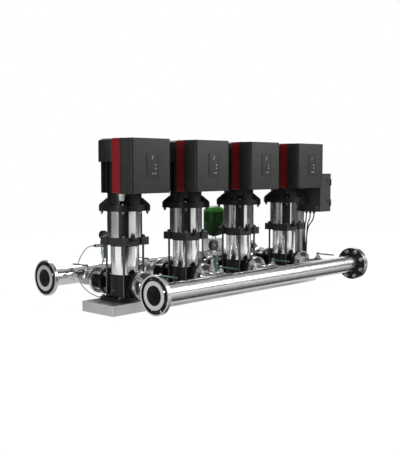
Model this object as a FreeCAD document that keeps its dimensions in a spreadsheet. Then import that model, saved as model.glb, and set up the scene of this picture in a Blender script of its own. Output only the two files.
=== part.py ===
import FreeCAD, Part
import Sketcher

import math
import os
import re

from FreeCAD import Placement, Rotation, Vector

# Booster pump set: four vertical multistage pumps on one sheet frame, between a suction
# manifold at the front and a discharge manifold at the back. X runs along the pump row,
# -Y is the suction side, Z is up. The origin is on the floor under the middle of the row.

PUMPS = 4
SIDES = {"suction": -1, "discharge": 1}
CORNERS = [(-1, -1), (-1, 1), (1, -1), (1, 1)]

SIZES = {
    # Layout
    "pump_pitch": 514, "frame_height": 60, "port_rise": 95,
    "suction_offset": 458, "discharge_offset": 519, "manifold_length": 1946,
    # Frame
    "frame_length": 1968, "frame_width": 278, "frame_sheet": 3, "frame_corner": 6,
    "rib_pitch": 514, "rib_width": 40,
    # Manifolds
    "main_od": 114.3, "main_wall": 2, "branch_od": 60.3,
    "lip_od": 158, "lip_thick": 4,
    "main_flange_od": 220, "main_flange_thick": 20, "main_flange_gap": 1.2,
    "main_flange_rim": 8, "main_flange_dish": 8,
    "main_bolt_circle": 180, "main_bolt_hole": 18, "blind_thick": 18,
    # Pump
    "foot_length": 247, "foot_width": 183, "foot_height": 22, "foot_corner": 18,
    "casing_od": 176, "casing_top": 213.5,
    "port_face": 150, "port_flange_od": 165, "port_flange_thick": 22, "port_neck_od": 86,
    "sleeve_od": 170, "sleeve_height": 171,
    "head_width": 200, "head_height": 46, "head_notch": 9, "head_notch_width": 84,
    "stay_offset": 75.5, "stay_od": 14, "stay_nut_flats": 22, "stay_nut_height": 13,
    "nut_clear": 2,
    "stool_height": 171, "stool_od": 205, "stool_wall": 28, "stool_window": 98,
    "stool_flange_od": 250, "stool_flange_thick": 18,
    "lug_reach": 150, "lug_width": 46,
    "guard_thick": 1.5, "guard_gap": 0.3,
    # Motor and drive
    "motor_flange_thick": 18, "neck_od": 200, "motor_bottom": 689,
    "motor_od": 272, "fin_count": 13, "fin_depth": 14, "fin_thick": 5,
    "fan_cover_bottom": 867, "fan_cover_od": 300, "drive_top": 1000,
    "crown_height": 10, "crown_inset": 20,
    "drive_width": 300, "drive_front": 233, "band_front": 134.5, "band_back": 67.5,
    "band_proud": 1.5, "drive_corner": 12,
    "panel_width": 96, "panel_height": 146, "panel_thick": 2, "panel_offset": 8,
    "panel_top": 922, "key_width": 12, "key_height": 9, "key_gap": 0.3, "key_rise": 1.5,
    "mat_thick": 1.5, "mat_margin": 6, "mat_recess": 3.5,
    "key_out": 19, "key_top": 850, "key_step": 21, "key_low": 801,
    "drive_gland_flats": 36, "drive_gland_length": 34, "drive_gland_inset": 40,
    # Turning parts
    "shaft_od": 24, "shaft_gap": 0.05, "bearing_depth": 30, "shaft_end_gap": 0.3,
    "coupling_od": 78, "coupling_height": 96,
    # Branch valves
    "check_length": 66, "check_od": 106, "ring_thick": 22,
    "valve_from_main": 160, "valve_length": 96, "valve_flats": 72, "valve_barrel_od": 90,
    "valve_barrel_length": 50, "gland_rise": 59, "gland_flats": 28,
    "lever_lift": 68, "lever_reach": 132, "lever_width": 20, "lever_thick": 8,
    "lever_stem_od": 16, "lever_gap": 0.3,
    # Gauge stands
    "stand_along": 503, "stand_pipe_od": 14, "stand_valve_flats": 32, "stand_valve_bottom": 262,
    "stand_valve_top": 313, "stand_tee_width": 30, "stand_tee_bottom": 314,
    "stand_tee_top": 362, "stand_centre": 289,
    "wing_length": 96, "wing_width": 26, "wing_thick": 6, "wing_out": 24, "wing_stem_od": 12,
    "gauge_od": 60, "gauge_thick": 26,
    "sender_od": 24, "sender_length": 52, "sender_lift": 326, "plug_od": 16,
    "plug_length": 18,
    # Tank
    "tank_along": 581, "tank_od": 160, "tank_bottom": 315, "tank_top": 546, "tank_dome": 42,
    "tank_neck_flats": 30, "tank_neck_sink": 4,
    "stand_box_length": 120, "stand_box_width": 95,
    "stand_box_top": 300, "stand_box_wall": 3, "stand_box_rim": 5,
    # Cabinet
    "cabinet_start": 950, "cabinet_depth": 118, "cabinet_width": 380, "cabinet_bottom": 510,
    "cabinet_height": 278, "cabinet_wall": 3, "door_thick": 14, "door_gap": 0.5,
    "hinge_od": 10, "hinge_pin_od": 5, "hinge_gap": 0.3, "hinge_height": 24,
    "hinge_inset": 40, "hinge_leaf": 3, "hinge_strap": 30,
    "knob_along": 110, "knob_height": 720, "knob_od": 46, "knob_thick": 16, "knob_gap": 0.3,
    "spindle_od": 8, "spindle_inset": 1, "grip_length": 58, "grip_width": 12, "grip_rise": 8,
    "plate_inset": 25, "plate_thick": 3,
    "controller_side": 60, "controller_rise": 130, "controller_width": 150,
    "controller_height": 100, "controller_depth": 60,
    "breaker_side": 230, "breaker_rise": 140, "breaker_width": 108, "breaker_height": 80,
    "breaker_depth": 65,
    "terminal_side": 60, "terminal_rise": 50, "terminal_width": 260, "terminal_height": 45,
    "terminal_depth": 40,
    "post_along": 935, "post_depth": 40, "post_width": 60, "post_foot": 5,
    "post_foot_reach": 60, "post_head_reach": 30, "post_head_depth": 32,
    "gland_pitch": 34, "gland_nut_flats": 20, "gland_length": 16, "gland_first": 8,
    "cabinet_gland_along": 988,
    # Leads
    "power_lead_od": 9, "sensor_lead_od": 6,
}

# How many flats stand for a round bar where many copies of it repeat
PIPE_FLATS = 16
VALVE_FLATS = 12
STUD_FLATS = 8
LEAD_FLATS = 6
STATOR_FLATS = 24

os.makedirs("parts", exist_ok=True)
doc = FreeCAD.newDocument("BoosterPumpSet")
sheet = doc.addObject("Spreadsheet::Sheet", "sizes")
for row, (alias, value) in enumerate(SIZES.items(), start=1):
    sheet.set("A%d" % row, alias)
    sheet.set("B%d" % row, str(value))
    sheet.setAlias("B%d" % row, alias)
probe = doc.addObject("Spreadsheet::Sheet", "probe")
doc.recompute()

WORD = re.compile(r"[a-z][a-z_]*[a-z]")
FUNCTIONS = {"sqrt", "sin", "cos", "tan"}
nodes = {}

# Heights that several pieces share, written in the sheet's names
PORT_Z = "(frame_height + port_rise)"
FOOT_TOP = "(frame_height + foot_height)"
SLEEVE_TOP = "(casing_top + sleeve_height)"
HEAD_TOP = "(casing_top + sleeve_height + head_height)"
STOOL_TOP = "(casing_top + sleeve_height + head_height + stool_height)"
MAIN_CREST = "(frame_height + port_rise + main_od / 2)"


def size(alias):
    return float(getattr(sheet, alias))


def formula(text):
    """A formula in the sheet's names, as an expression that FreeCAD can bind."""
    return WORD.sub(lambda m: m.group(0) if m.group(0) in FUNCTIONS else "sizes." + m.group(0),
                    str(text))


def value_of(text):
    """The present value of such a formula, for a sketch's starting shape."""
    probe.set("A1", "=" + formula(text))
    probe.recompute()
    return float(probe.get("A1"))


def bind(obj, prop, text):
    obj.setExpression(prop, formula(text))


def place(obj, x, y, z):
    for axis, text in zip("xyz", (x, y, z)):
        bind(obj, "Placement.Base." + axis, text)
    return obj


# Turns that point a primitive's own Z axis along the named direction
TURN = {
    "z": Rotation(), "-z": Rotation(Vector(1, 0, 0), 180),
    "x": Rotation(Vector(0, 1, 0), 90), "-x": Rotation(Vector(0, 1, 0), -90),
    "y": Rotation(Vector(1, 0, 0), -90), "-y": Rotation(Vector(1, 0, 0), 90),
}


def block(x, y, z, dx, dy, dz):
    """A box with its lowest corner at x, y, z."""
    obj = doc.addObject("Part::Box", "block")
    for prop, text in zip(("Length", "Width", "Height"), (dx, dy, dz)):
        bind(obj, prop, text)
    return place(obj, x, y, z)


def centred_block(x, y, z, dx, dy, dz):
    """A box centred on x and y that stands on z."""
    return block("%s - (%s) / 2" % (x, dx), "%s - (%s) / 2" % (y, dy), z, dx, dy, dz)


def rod(way, x, y, z, diameter, length):
    """A cylinder that starts at x, y, z and runs along way."""
    obj = doc.addObject("Part::Cylinder", "rod")
    bind(obj, "Radius", "(%s) / 2" % diameter)
    bind(obj, "Height", length)
    obj.Placement = Placement(Vector(), TURN[way])
    return place(obj, x, y, z)


def bar(way, sides, x, y, z, diameter, length):
    """A bar with flat sides along way, as wide over its corners as stated."""
    obj = doc.addObject("Part::Prism", "bar")
    obj.Polygon = sides
    bind(obj, "Circumradius", "(%s) / 2" % diameter)
    bind(obj, "Height", length)
    obj.Placement = Placement(Vector(), TURN[way])
    return place(obj, x, y, z)


def hexagon(way, x, y, z, flats, length):
    """A hexagonal bar, as wide across flats as stated."""
    return bar(way, 6, x, y, z, "2 * (%s) / sqrt(3)" % flats, length)


def fuse(*pieces):
    obj = doc.addObject("Part::MultiFuse", "fuse")
    obj.Shapes = list(pieces)
    obj.Refine = True
    return obj


def cut(base, *tools):
    obj = doc.addObject("Part::Cut", "cut")
    obj.Base = base
    obj.Tool = tools[0] if len(tools) == 1 else fuse(*tools)
    obj.Refine = True
    return obj


def common(*pieces):
    obj = doc.addObject("Part::MultiCommon", "common")
    obj.Shapes = list(pieces)
    obj.Refine = True
    return obj


def rounded(base, radius, keep):
    """base with the edges that keep picks rounded to a radius from the sheet."""
    doc.recompute()
    obj = doc.addObject("Part::Fillet", "rounded")
    obj.Base = base
    picked = [i for i, edge in enumerate(base.Shape.Edges, start=1) if keep(edge)]
    if not picked:
        raise RuntimeError("no edge to round on " + base.Name)
    obj.Edges = [(i, size(radius), size(radius)) for i in picked]
    return obj


def straight_along(edge, axis):
    """True for a straight edge that runs along the named axis."""
    if not isinstance(edge.Curve, Part.Line):
        return False
    return abs(getattr(edge.Curve.Direction, axis)) > 0.999


def upright(edge):
    return straight_along(edge, "z")


def along_y(edge):
    return straight_along(edge, "y")


def upright_front(edge):
    """True for the two upright edges at the front of a drive box."""
    return upright(edge) and edge.CenterOfMass.y < -size("band_front")


def new_body(name):
    return doc.addObject("PartDesign::Body", name)


def new_sketch(body, role, lift="0"):
    plane = next(f for f in body.Origin.OriginFeatures if f.Role == role)
    sketch = body.newObject("Sketcher::SketchObject", "sketch")
    sketch.AttachmentSupport = [(plane, "")]
    sketch.MapMode = "FlatFace"
    bind(sketch, "AttachmentOffset.Base.z", lift)
    return sketch


def dimension(sketch, kind, *where):
    """Add a driving dimension. The last item is its formula."""
    *ends, text = where
    index = sketch.addConstraint(Sketcher.Constraint(kind, *ends, value_of(text)))
    sketch.setExpression("Constraints[%d]" % index, formula(text))
    return index


def relate(sketch, kind, *where):
    sketch.addConstraint(Sketcher.Constraint(kind, *where))


def sketch_rectangle(sketch, width, height):
    """A rectangle centred on the sketch's origin."""
    w, h = value_of(width) / 2, value_of(height) / 2
    corners = [Vector(-w, -h, 0), Vector(w, -h, 0), Vector(w, h, 0), Vector(-w, h, 0)]
    for i in range(4):
        sketch.addGeometry(Part.LineSegment(corners[i], corners[(i + 1) % 4]), False)
    for i in range(4):
        relate(sketch, "Coincident", i, 2, (i + 1) % 4, 1)
        relate(sketch, "Horizontal" if i % 2 == 0 else "Vertical", i)
    relate(sketch, "Symmetric", 0, 1, 1, 2, -1, 1)
    dimension(sketch, "DistanceX", 0, 1, 0, 2, width)
    dimension(sketch, "DistanceY", 1, 1, 1, 2, height)


def sketch_circle(sketch, diameter, out="0"):
    """A circle on the sketch's X axis, out from the origin."""
    at = value_of(out)
    index = sketch.addGeometry(Part.Circle(Vector(at, 0, 0), Vector(0, 0, 1),
                                           value_of(diameter) / 2), False)
    if at:
        relate(sketch, "PointOnObject", index, 3, -1)
        dimension(sketch, "DistanceX", -1, 1, index, 3, out)
    else:
        relate(sketch, "Coincident", index, 3, -1, 1)
    dimension(sketch, "Diameter", index, diameter)


def pad(body, sketch, length):
    feature = body.newObject("PartDesign::Pad", "pad")
    feature.Profile = sketch
    bind(feature, "Length", length)
    doc.recompute()
    return feature


def pocket(body, sketch, length, upwards):
    """Cut the sketch out of the body, and make sure that it took something away."""
    before = body.Shape.Volume
    feature = body.newObject("PartDesign::Pocket", "pocket")
    feature.Profile = sketch
    feature.Reversed = upwards
    bind(feature, "Length", length)
    doc.recompute()
    if body.Shape.Volume >= before:
        raise RuntimeError("a pocket in %s cuts nothing" % body.Name)
    return feature


def polar(body, feature, count):
    pattern = body.newObject("PartDesign::PolarPattern", "pattern")
    pattern.Originals = [feature]
    pattern.Axis = (next(f for f in body.Origin.OriginFeatures if f.Role == "Z_Axis"), [""])
    pattern.Angle = 360
    pattern.Occurrences = count
    body.Tip = pattern
    doc.recompute()
    return pattern


def turned(name, outline):
    """A body revolved about Z. Its outline lists diameter and height, corner by corner."""
    body = new_body(name)
    sketch = new_sketch(body, "XZ_Plane")
    corners = [Vector(value_of(across) / 2, value_of(height), 0) for across, height in outline]
    count = len(corners)
    for i in range(count):
        sketch.addGeometry(Part.LineSegment(corners[i], corners[(i + 1) % count]), False)
    for i in range(count):
        relate(sketch, "Coincident", i, 2, (i + 1) % count, 1)
    for i, (across, height) in enumerate(outline):
        if across == "0":
            relate(sketch, "PointOnObject", i, 1, -2)
        else:
            dimension(sketch, "DistanceX", -1, 1, i, 1, "(%s) / 2" % across)
        dimension(sketch, "DistanceY", -1, 1, i, 1, height)
    feature = body.newObject("PartDesign::Revolution", "revolution")
    feature.Profile = sketch
    feature.ReferenceAxis = (sketch, ["V_Axis"])
    feature.Angle = 360
    body.Tip = feature
    doc.recompute()
    return body


def dressed(body, kind, picks, amount):
    """Round or chamfer the picked edges of a body's present shape."""
    base = body.Tip
    names = ["Edge%d" % i for i, edge in enumerate(base.Shape.Edges, start=1) if picks(edge)]
    if not names:
        raise RuntimeError("no edge to dress on " + body.Name)
    feature = body.newObject("PartDesign::" + kind, kind.lower())
    feature.Base = (base, names)
    bind(feature, "Radius" if kind == "Fillet" else "Size", amount)
    body.Tip = feature
    doc.recompute()
    return feature


def copy_at(master, x="0", y="0", z="0", turn=0):
    """The same solid somewhere else, turned about the vertical."""
    link = doc.addObject("App::Link", "copy")
    link.LinkedObject = master
    link.LinkTransform = True
    link.Placement = Placement(Vector(), Rotation(Vector(0, 0, 1), turn))
    return place(link, x, y, z)


def pump_x(index):
    """Where pump number index (0 to 3) stands along the row."""
    return "(%g * pump_pitch)" % (index - (PUMPS - 1) / 2)


def node(label, *pieces):
    """Name what becomes one file: one object, or a group of separate solids."""
    if len(pieces) == 1:
        obj = pieces[0]
    else:
        obj = doc.addObject("Part::Compound", label)
        obj.Links = list(pieces)
    obj.Label = label
    nodes[label] = obj
    return obj


def at_each_pump(label, *masters):
    """One group with every master repeated at every pump."""
    node(label, *[copy_at(m, pump_x(i)) for i in range(PUMPS) for m in masters])


def branch_y(side, distance):
    """A place measured outwards from the pump row on one side."""
    return "(%d * (%s))" % (SIDES[side], distance)


def manifold_y(side):
    return branch_y(side, side + "_offset")


def valve_y(side):
    return branch_y(side, side + "_offset - valve_from_main")


def way_out(side):
    return "y" if SIDES[side] > 0 else "-y"


def way_in(side):
    return "-y" if SIDES[side] > 0 else "y"


def make_base_frame():
    """A tray of folded sheet, open underneath, that carries the four pumps."""
    body = new_body("base_frame_body")
    outline = new_sketch(body, "XY_Plane")
    sketch_rectangle(outline, "frame_length", "frame_width")
    pad(body, outline, "frame_height")
    dressed(body, "Fillet", upright, "frame_corner")
    hollow = new_sketch(body, "XY_Plane")
    sketch_rectangle(hollow, "frame_length - 2 * frame_sheet", "frame_width - 2 * frame_sheet")
    pocket(body, hollow, "frame_height - frame_sheet", True)
    ribs = [centred_block("%d * rib_pitch" % k, "0", "0", "rib_width",
                          "frame_width - 2 * frame_sheet", "frame_height - frame_sheet")
            for k in (-1, 0, 1)]
    node("base_frame", fuse(body, *ribs))


def make_manifolds():
    """Two straight mains, and the stubs that are welded to them towards the pumps."""
    stubs = []
    for side in SIDES:
        y = manifold_y(side)
        start = "(-manifold_length / 2)"
        main = rod("x", start, y, PORT_Z, "main_od", "manifold_length")
        bore = rod("x", start, y, PORT_Z, "main_od - 2 * main_wall", "manifold_length")
        node(side + "_manifold", cut(main, bore))
        for i in range(PUMPS):
            stub = bar(way_in(side), PIPE_FLATS, pump_x(i), y, PORT_Z, "branch_od",
                       "valve_from_main - valve_length / 2")
            saddle = rod("x", pump_x(i) + " - branch_od", y, PORT_Z, "main_od", "2 * branch_od")
            stubs.append(cut(stub, saddle))
    node("branch_stubs", *stubs)


def make_pipe_collars():
    """The welded collar at each end of a main, which its loose flange bears on."""
    collars = []
    for side in SIDES:
        for start in ("-manifold_length / 2", "manifold_length / 2 - lip_thick"):
            y = manifold_y(side)
            collars.append(cut(rod("x", start, y, PORT_Z, "lip_od", "lip_thick"),
                               rod("x", start, y, PORT_Z, "main_od", "lip_thick")))
    node("pipe_collars", *collars)


def make_main_flange():
    """The pressed loose flange at a main's near end: a dished ring with eight bolt holes."""
    body = new_body("main_flange_body")
    disc = new_sketch(body, "XY_Plane")
    sketch_circle(disc, "main_flange_od")
    sketch_circle(disc, "main_od + 2 * main_flange_gap")
    pad(body, disc, "main_flange_thick")
    dish = new_sketch(body, "XY_Plane")
    sketch_circle(dish, "main_flange_od - 2 * main_flange_rim")
    sketch_circle(dish, "lip_od")
    pocket(body, dish, "main_flange_dish", True)
    drill = new_sketch(body, "XY_Plane")
    sketch_circle(drill, "main_bolt_hole", "main_bolt_circle / 2")
    hole = pocket(body, drill, "main_flange_thick", True)
    polar(body, hole, 8)
    return body


def make_manifold_flanges():
    """Loose flanges behind the collars of both mains' near ends, dished side out."""
    flange = make_main_flange()
    half_step = Rotation(Vector(0, 0, 1), 22.5)
    copies = []
    for side in SIDES:
        link = copy_at(flange)
        link.Placement = Placement(Vector(), TURN["x"].multiply(half_step))
        place(link, "-manifold_length / 2 + lip_thick", manifold_y(side), PORT_Z)
        copies.append(link)
    node("manifold_flanges", *copies)


def make_closed_ends():
    """At each main's far end a loose flange behind the collar, and a blind one that closes it."""
    pieces = []
    for side in SIDES:
        y = manifold_y(side)
        start = "manifold_length / 2 - lip_thick - main_flange_thick"
        ring = cut(rod("x", start, y, PORT_Z, "main_flange_od", "main_flange_thick"),
                   rod("x", start, y, PORT_Z, "main_od + 2 * main_flange_gap",
                       "main_flange_thick"))
        blind = rod("x", "manifold_length / 2", y, PORT_Z, "main_flange_od", "blind_thick")
        pieces += [ring, blind]
    node("closed_end_flanges", *pieces)


def make_pump_bases():
    """Cast foot and round casing, with a neck and a port flange on each side."""
    foot = rounded(centred_block("0", "0", "frame_height", "foot_length", "foot_width",
                                 "foot_height"), "foot_corner", upright)
    casing = rod("z", "0", "0", "frame_height", "casing_od", "casing_top - frame_height")
    pieces = [foot, casing]
    for side, sign in SIDES.items():
        pieces.append(bar(way_out(side), PIPE_FLATS, "0", "0", PORT_Z, "port_neck_od",
                          "port_face"))
        pieces.append(rod(way_out(side), "0", "%d * (port_face - port_flange_thick)" % sign,
                          PORT_Z, "port_flange_od", "port_flange_thick"))
    at_each_pump("pump_bases", fuse(*pieces))


def make_sleeves():
    """Polished outer sleeve of each pump, closed and left solid over its chamber stack."""
    at_each_pump("outer_sleeves", rod("z", "0", "0", "casing_top", "sleeve_od",
                                      "sleeve_height"))


def lugs(z, thick):
    """Four bolt lugs on the diagonals of a motor flange."""
    arm = centred_block("0", "0", z, "2 * lug_reach", "lug_width", thick)
    cross = fuse(*[copy_at(arm, turn=angle) for angle in (45, 135)])
    return common(cross, rod("z", "0", "0", z, "2 * lug_reach", thick))


def make_pump_heads():
    """Head casting: a notched square plate, a windowed stool and the top flange."""
    plate = centred_block("0", "0", SLEEVE_TOP, "head_width", "head_width", "head_height")
    notches = []
    for sign in (-1, 1):
        edge = "%d * (head_width / 2 - head_notch / 2)" % sign
        notches.append(centred_block(edge, "0", SLEEVE_TOP, "head_notch", "head_notch_width",
                                     "head_height"))
        notches.append(centred_block("0", edge, SLEEVE_TOP, "head_notch_width", "head_notch",
                                     "head_height"))
    tube_part = rod("z", "0", "0", HEAD_TOP, "stool_od", "stool_height")
    window_height = "stool_height - stool_flange_thick"
    windows = [centred_block("0", "0", HEAD_TOP, "2 * stool_od", "stool_window", window_height),
               centred_block("0", "0", HEAD_TOP, "stool_window", "2 * stool_od", window_height)]
    nut_seats = [bar("z", STUD_FLATS, "%d * stay_offset" % sx, "%d * stay_offset" % sy, HEAD_TOP,
                     "2 * stay_nut_flats / sqrt(3) + 2 * nut_clear",
                     "stay_nut_height + nut_clear") for sx, sy in CORNERS]
    flange_z = STOOL_TOP + " - stool_flange_thick"
    flange = rod("z", "0", "0", flange_z, "stool_flange_od", "stool_flange_thick")
    solid = fuse(cut(plate, *notches), cut(tube_part, *windows, *nut_seats), flange,
                 lugs(flange_z, "stool_flange_thick"))
    well = rod("z", "0", "0", HEAD_TOP, "stool_od - 2 * stool_wall", "stool_height")
    bore = rod("z", "0", "0", HEAD_TOP + " - bearing_depth", "shaft_od + 2 * shaft_gap",
               "bearing_depth")
    at_each_pump("pump_heads", cut(solid, well, bore))


def make_staybolts():
    """Four long bolts from each foot to its head, each with its nut on the head."""
    pieces = []
    for i in range(PUMPS):
        for sx, sy in CORNERS:
            x = "%s + %d * stay_offset" % (pump_x(i), sx)
            y = "%d * stay_offset" % sy
            pieces.append(bar("z", STUD_FLATS, x, y, FOOT_TOP, "stay_od",
                              "%s - %s" % (SLEEVE_TOP, FOOT_TOP)))
            pieces.append(hexagon("z", x, y, HEAD_TOP, "stay_nut_flats", "stay_nut_height"))
    node("staybolts", *pieces)


def make_coupling_guards():
    """A bent stainless sheet in each of the four stool windows."""
    outer = "stool_od - 2 * guard_gap"
    height = "stool_height - stool_flange_thick - guard_gap"
    ring = cut(rod("z", "0", "0", HEAD_TOP, outer, height),
               rod("z", "0", "0", HEAD_TOP, outer + " - 2 * guard_thick", height))
    width = "stool_window - 2 * guard_gap"
    pieces = []
    for sx, sy in ((-1, 0), (1, 0), (0, -1), (0, 1)):
        dx, dy = ("stool_od / 2", width) if sx else (width, "stool_od / 2")
        pieces.append(common(ring, centred_block("%d * stool_od / 2" % sx,
                                                 "%d * stool_od / 2" % sy,
                                                 HEAD_TOP, dx, dy, height)))
    at_each_pump("coupling_guards", *pieces)


def drive_seat(z, height):
    """What is taken off a motor where the drive's flat back seats on it."""
    return block("-drive_width", "-drive_front", z, "2 * drive_width",
                 "drive_front - band_back", height)


def fin_angles():
    """Cooling fins stand round the stator, apart from the side that the drive covers."""
    first, sweep = -20, 220
    count = int(size("fin_count"))
    return [first + sweep * k / (count - 1) for k in range(count)]


def make_motors():
    """Motor: lugged flange, tapered neck, finned stator and a flat seat for the drive."""
    height = "fan_cover_bottom - motor_bottom"
    core = bar("z", STATOR_FLATS, "0", "0", "motor_bottom", "motor_od - 2 * fin_depth", height)
    fin = block("0", "-fin_thick / 2", "motor_bottom", "motor_od / 2", "fin_thick", height)
    fins = [copy_at(fin, turn=angle) for angle in fin_angles()]
    flange = rod("z", "0", "0", STOOL_TOP, "stool_flange_od", "motor_flange_thick")
    neck = rod("z", "0", "0", STOOL_TOP, "neck_od", "motor_bottom - " + STOOL_TOP)
    solid = fuse(core, *fins, flange, neck, lugs(STOOL_TOP, "motor_flange_thick"))
    well = rod("z", "0", "0", STOOL_TOP, "shaft_od + 2 * shaft_gap", "bearing_depth")
    seat = drive_seat("motor_bottom - band_proud", height + " + band_proud")
    at_each_pump("motors", cut(solid, well, seat))


def make_fan_covers():
    """Fan cover on top of each motor, flat where the drive passes it."""
    cover = turned("fan_cover", [
        ("0", "fan_cover_bottom"), ("fan_cover_od", "fan_cover_bottom"),
        ("fan_cover_od", "drive_top - crown_height"),
        ("fan_cover_od - 2 * crown_inset", "drive_top"), ("0", "drive_top")])
    seat = drive_seat("fan_cover_bottom", "drive_top - fan_cover_bottom")
    at_each_pump("fan_covers", cut(cover, seat))


def make_drives():
    """Drive box in two parts, a coloured housing ring and the front cover, with its panel."""
    height = "drive_top - motor_bottom"
    ring = rounded(block("-drive_width / 2 - band_proud", "-band_front",
                         "motor_bottom - band_proud", "drive_width + 2 * band_proud",
                         "band_front - band_back", height + " + 2 * band_proud"),
                   "drive_corner", along_y)
    at_each_pump("drive_housings", ring)
    cover = rounded(block("-drive_width / 2", "-drive_front", "motor_bottom", "drive_width",
                          "drive_front - band_front", height), "drive_corner", upright_front)
    recess = mat_block("0", "-drive_front", "mat_recess", "mat_margin + key_gap")
    at_each_pump("front_covers", cut(cover, recess))
    plate = block("panel_offset - panel_width / 2", "-drive_front - panel_thick",
                  "panel_top - panel_height", "panel_width", "panel_thick", "panel_height")
    wide, tall = "key_width + 2 * key_gap", "key_height + 2 * key_gap"
    slots = [block("%s - (%s) / 2" % (x, wide), "-drive_front - panel_thick",
                   "%s - (%s) / 2" % (z, tall), wide, "panel_thick", tall)
             for x, z in key_places("0")]
    at_each_pump("control_panels", cut(plate, *slots))


def make_key_mats():
    """Behind each panel one soft mat carries the four keys that stand through its slots."""
    for i in range(PUMPS):
        x = pump_x(i)
        keys = [block(key_x + " - key_width / 2", "-drive_front - panel_thick - key_rise",
                      key_z + " - key_height / 2", "key_width",
                      "panel_thick + key_rise + key_gap + mat_thick", "key_height")
                for key_x, key_z in key_places(x)]
        mat = mat_block(x, "-drive_front + key_gap", "mat_thick", "mat_margin")
        node("key_mat_%d" % (i + 1), fuse(mat, *keys))


def mat_block(x, y, thick, margin):
    """The rectangle behind the panel that holds every key, with a margin round them."""
    low = "key_low - key_height / 2 - (%s)" % margin
    high = "key_top + key_height / 2 + (%s)" % margin
    return block("%s + panel_offset - key_width / 2 - (%s)" % (x, margin), y, low,
                 "key_out + key_width + 2 * (%s)" % margin, thick, "%s - (%s)" % (high, low))


def key_places(x):
    """X and Z of the four push keys on the control panel."""
    right = "%s + panel_offset + key_out" % x
    return [(right, "key_top"), (right, "key_top - key_step"),
            (right, "key_low"), ("%s + panel_offset" % x, "key_low")]


def gland_y(k):
    return "(-gland_first - %d * gland_pitch)" % k


def make_glands():
    """Cable glands: one under each drive and a row under the cabinet."""
    pieces = [hexagon("-z", pump_x(i) + " - drive_width / 2 + drive_gland_inset",
                      "-(band_front + band_back) / 2", "motor_bottom - band_proud",
                      "drive_gland_flats", "drive_gland_length") for i in range(PUMPS)]
    pieces += [hexagon("-z", "cabinet_gland_along", gland_y(k), "cabinet_bottom",
                       "gland_nut_flats", "gland_length") for k in range(PUMPS)]
    node("cable_glands", *pieces)


def make_rotors():
    """Drive shaft between pump head and motor, with the clamped coupling halves on it."""
    for i in range(PUMPS):
        x = pump_x(i)
        bottom = HEAD_TOP + " - bearing_depth + shaft_end_gap"
        top = STOOL_TOP + " + bearing_depth - shaft_end_gap"
        shaft = rod("z", x, "0", bottom, "shaft_od", "%s - (%s)" % (top, bottom))
        middle = "(%s + %s - stool_flange_thick - coupling_height) / 2" % (HEAD_TOP, STOOL_TOP)
        clamp = bar("z", STUD_FLATS, x, "0", middle, "coupling_od", "coupling_height")
        node("rotor_%d" % (i + 1), fuse(shaft, clamp))


def make_branches():
    """Flanged nipples between pumps and branch valves, and the wafer check valves."""
    nipples = []
    for side in SIDES:
        face = "port_face" if side == "suction" else "port_face + check_length"
        valve_end = "%s_offset - valve_from_main - valve_length / 2" % side
        for i in range(PUMPS):
            ring = rod(way_out(side), pump_x(i), branch_y(side, face), PORT_Z,
                       "port_flange_od", "ring_thick")
            pipe = bar(way_out(side), PIPE_FLATS, pump_x(i), branch_y(side, face), PORT_Z,
                       "branch_od", "%s - (%s)" % (valve_end, face))
            nipples.append(fuse(ring, pipe))
    node("branch_flanges", *nipples)
    wafers = [bar("y", PIPE_FLATS, pump_x(i), "port_face", PORT_Z, "check_od", "check_length")
              for i in range(PUMPS)]
    node("check_valves", *wafers)


def make_branch_valves():
    """Ball valve bodies, and the lever that turns each valve's stem."""
    bodies = []
    for side in SIDES:
        y = valve_y(side)
        for i in range(PUMPS):
            x = pump_x(i)
            ends = hexagon("y", x, "%s - valve_length / 2" % y, PORT_Z, "valve_flats",
                           "valve_length")
            barrel = bar("y", VALVE_FLATS, x, "%s - valve_barrel_length / 2" % y, PORT_Z,
                         "valve_barrel_od", "valve_barrel_length")
            gland = hexagon("z", x, y, PORT_Z, "gland_flats", "gland_rise")
            bodies.append(fuse(ends, barrel, gland))
            node("%s_lever_%d" % (side, i + 1), make_lever(side, x, y))
    node("ball_valves", *bodies)


def make_lever(side, x, y):
    """A flat lever on its stem. It points along the pipe while the valve is open."""
    stem = rod("z", x, y, PORT_Z + " + gland_rise + lever_gap", "lever_stem_od",
               "lever_lift + lever_thick - gland_rise - lever_gap")
    start = "%s - lever_reach" % y if side == "suction" else y
    arm = block("%s - lever_width / 2" % x, start, PORT_Z + " + lever_lift", "lever_width",
                "lever_reach", "lever_thick")
    return fuse(stem, arm)


def make_gauge_stands():
    """On each main: a nipple, a small ball valve, a tee, a gauge and a pressure sender."""
    stands, gauges, senders, plugs = [], [], [], []
    for side in SIDES:
        x, y = "(-stand_along)", manifold_y(side)
        nipple = bar("z", STUD_FLATS, x, y, PORT_Z, "stand_pipe_od",
                     "stand_tee_bottom - " + PORT_Z)
        valve = hexagon("z", x, y, "stand_valve_bottom", "stand_valve_flats",
                        "stand_valve_top - stand_valve_bottom")
        tee = centred_block(x, y, "stand_tee_bottom", "stand_tee_width", "stand_tee_width",
                            "stand_tee_top - stand_tee_bottom")
        main = rod("x", "-stand_along - stand_pipe_od", y, PORT_Z, "main_od",
                   "2 * stand_pipe_od")
        stands.append(cut(fuse(nipple, valve, tee), main))
        gauges.append(rod("y", x, y + " - gauge_thick / 2", "stand_tee_top + gauge_od / 2",
                          "gauge_od", "gauge_thick"))
        sender_x = "-stand_along - stand_tee_width / 2"
        senders.append(bar("-x", VALVE_FLATS, sender_x, y, "sender_lift", "sender_od",
                           "sender_length"))
        plugs.append(bar("-x", VALVE_FLATS, sender_x + " - sender_length", y, "sender_lift",
                         "plug_od", "plug_length"))
        node(side + "_stand_handle", make_wing_handle(x, y))
    node("gauge_stands", *stands)
    node("pressure_gauges", *gauges)
    node("pressure_senders", *senders)
    node("sender_plugs", *plugs)


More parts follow.
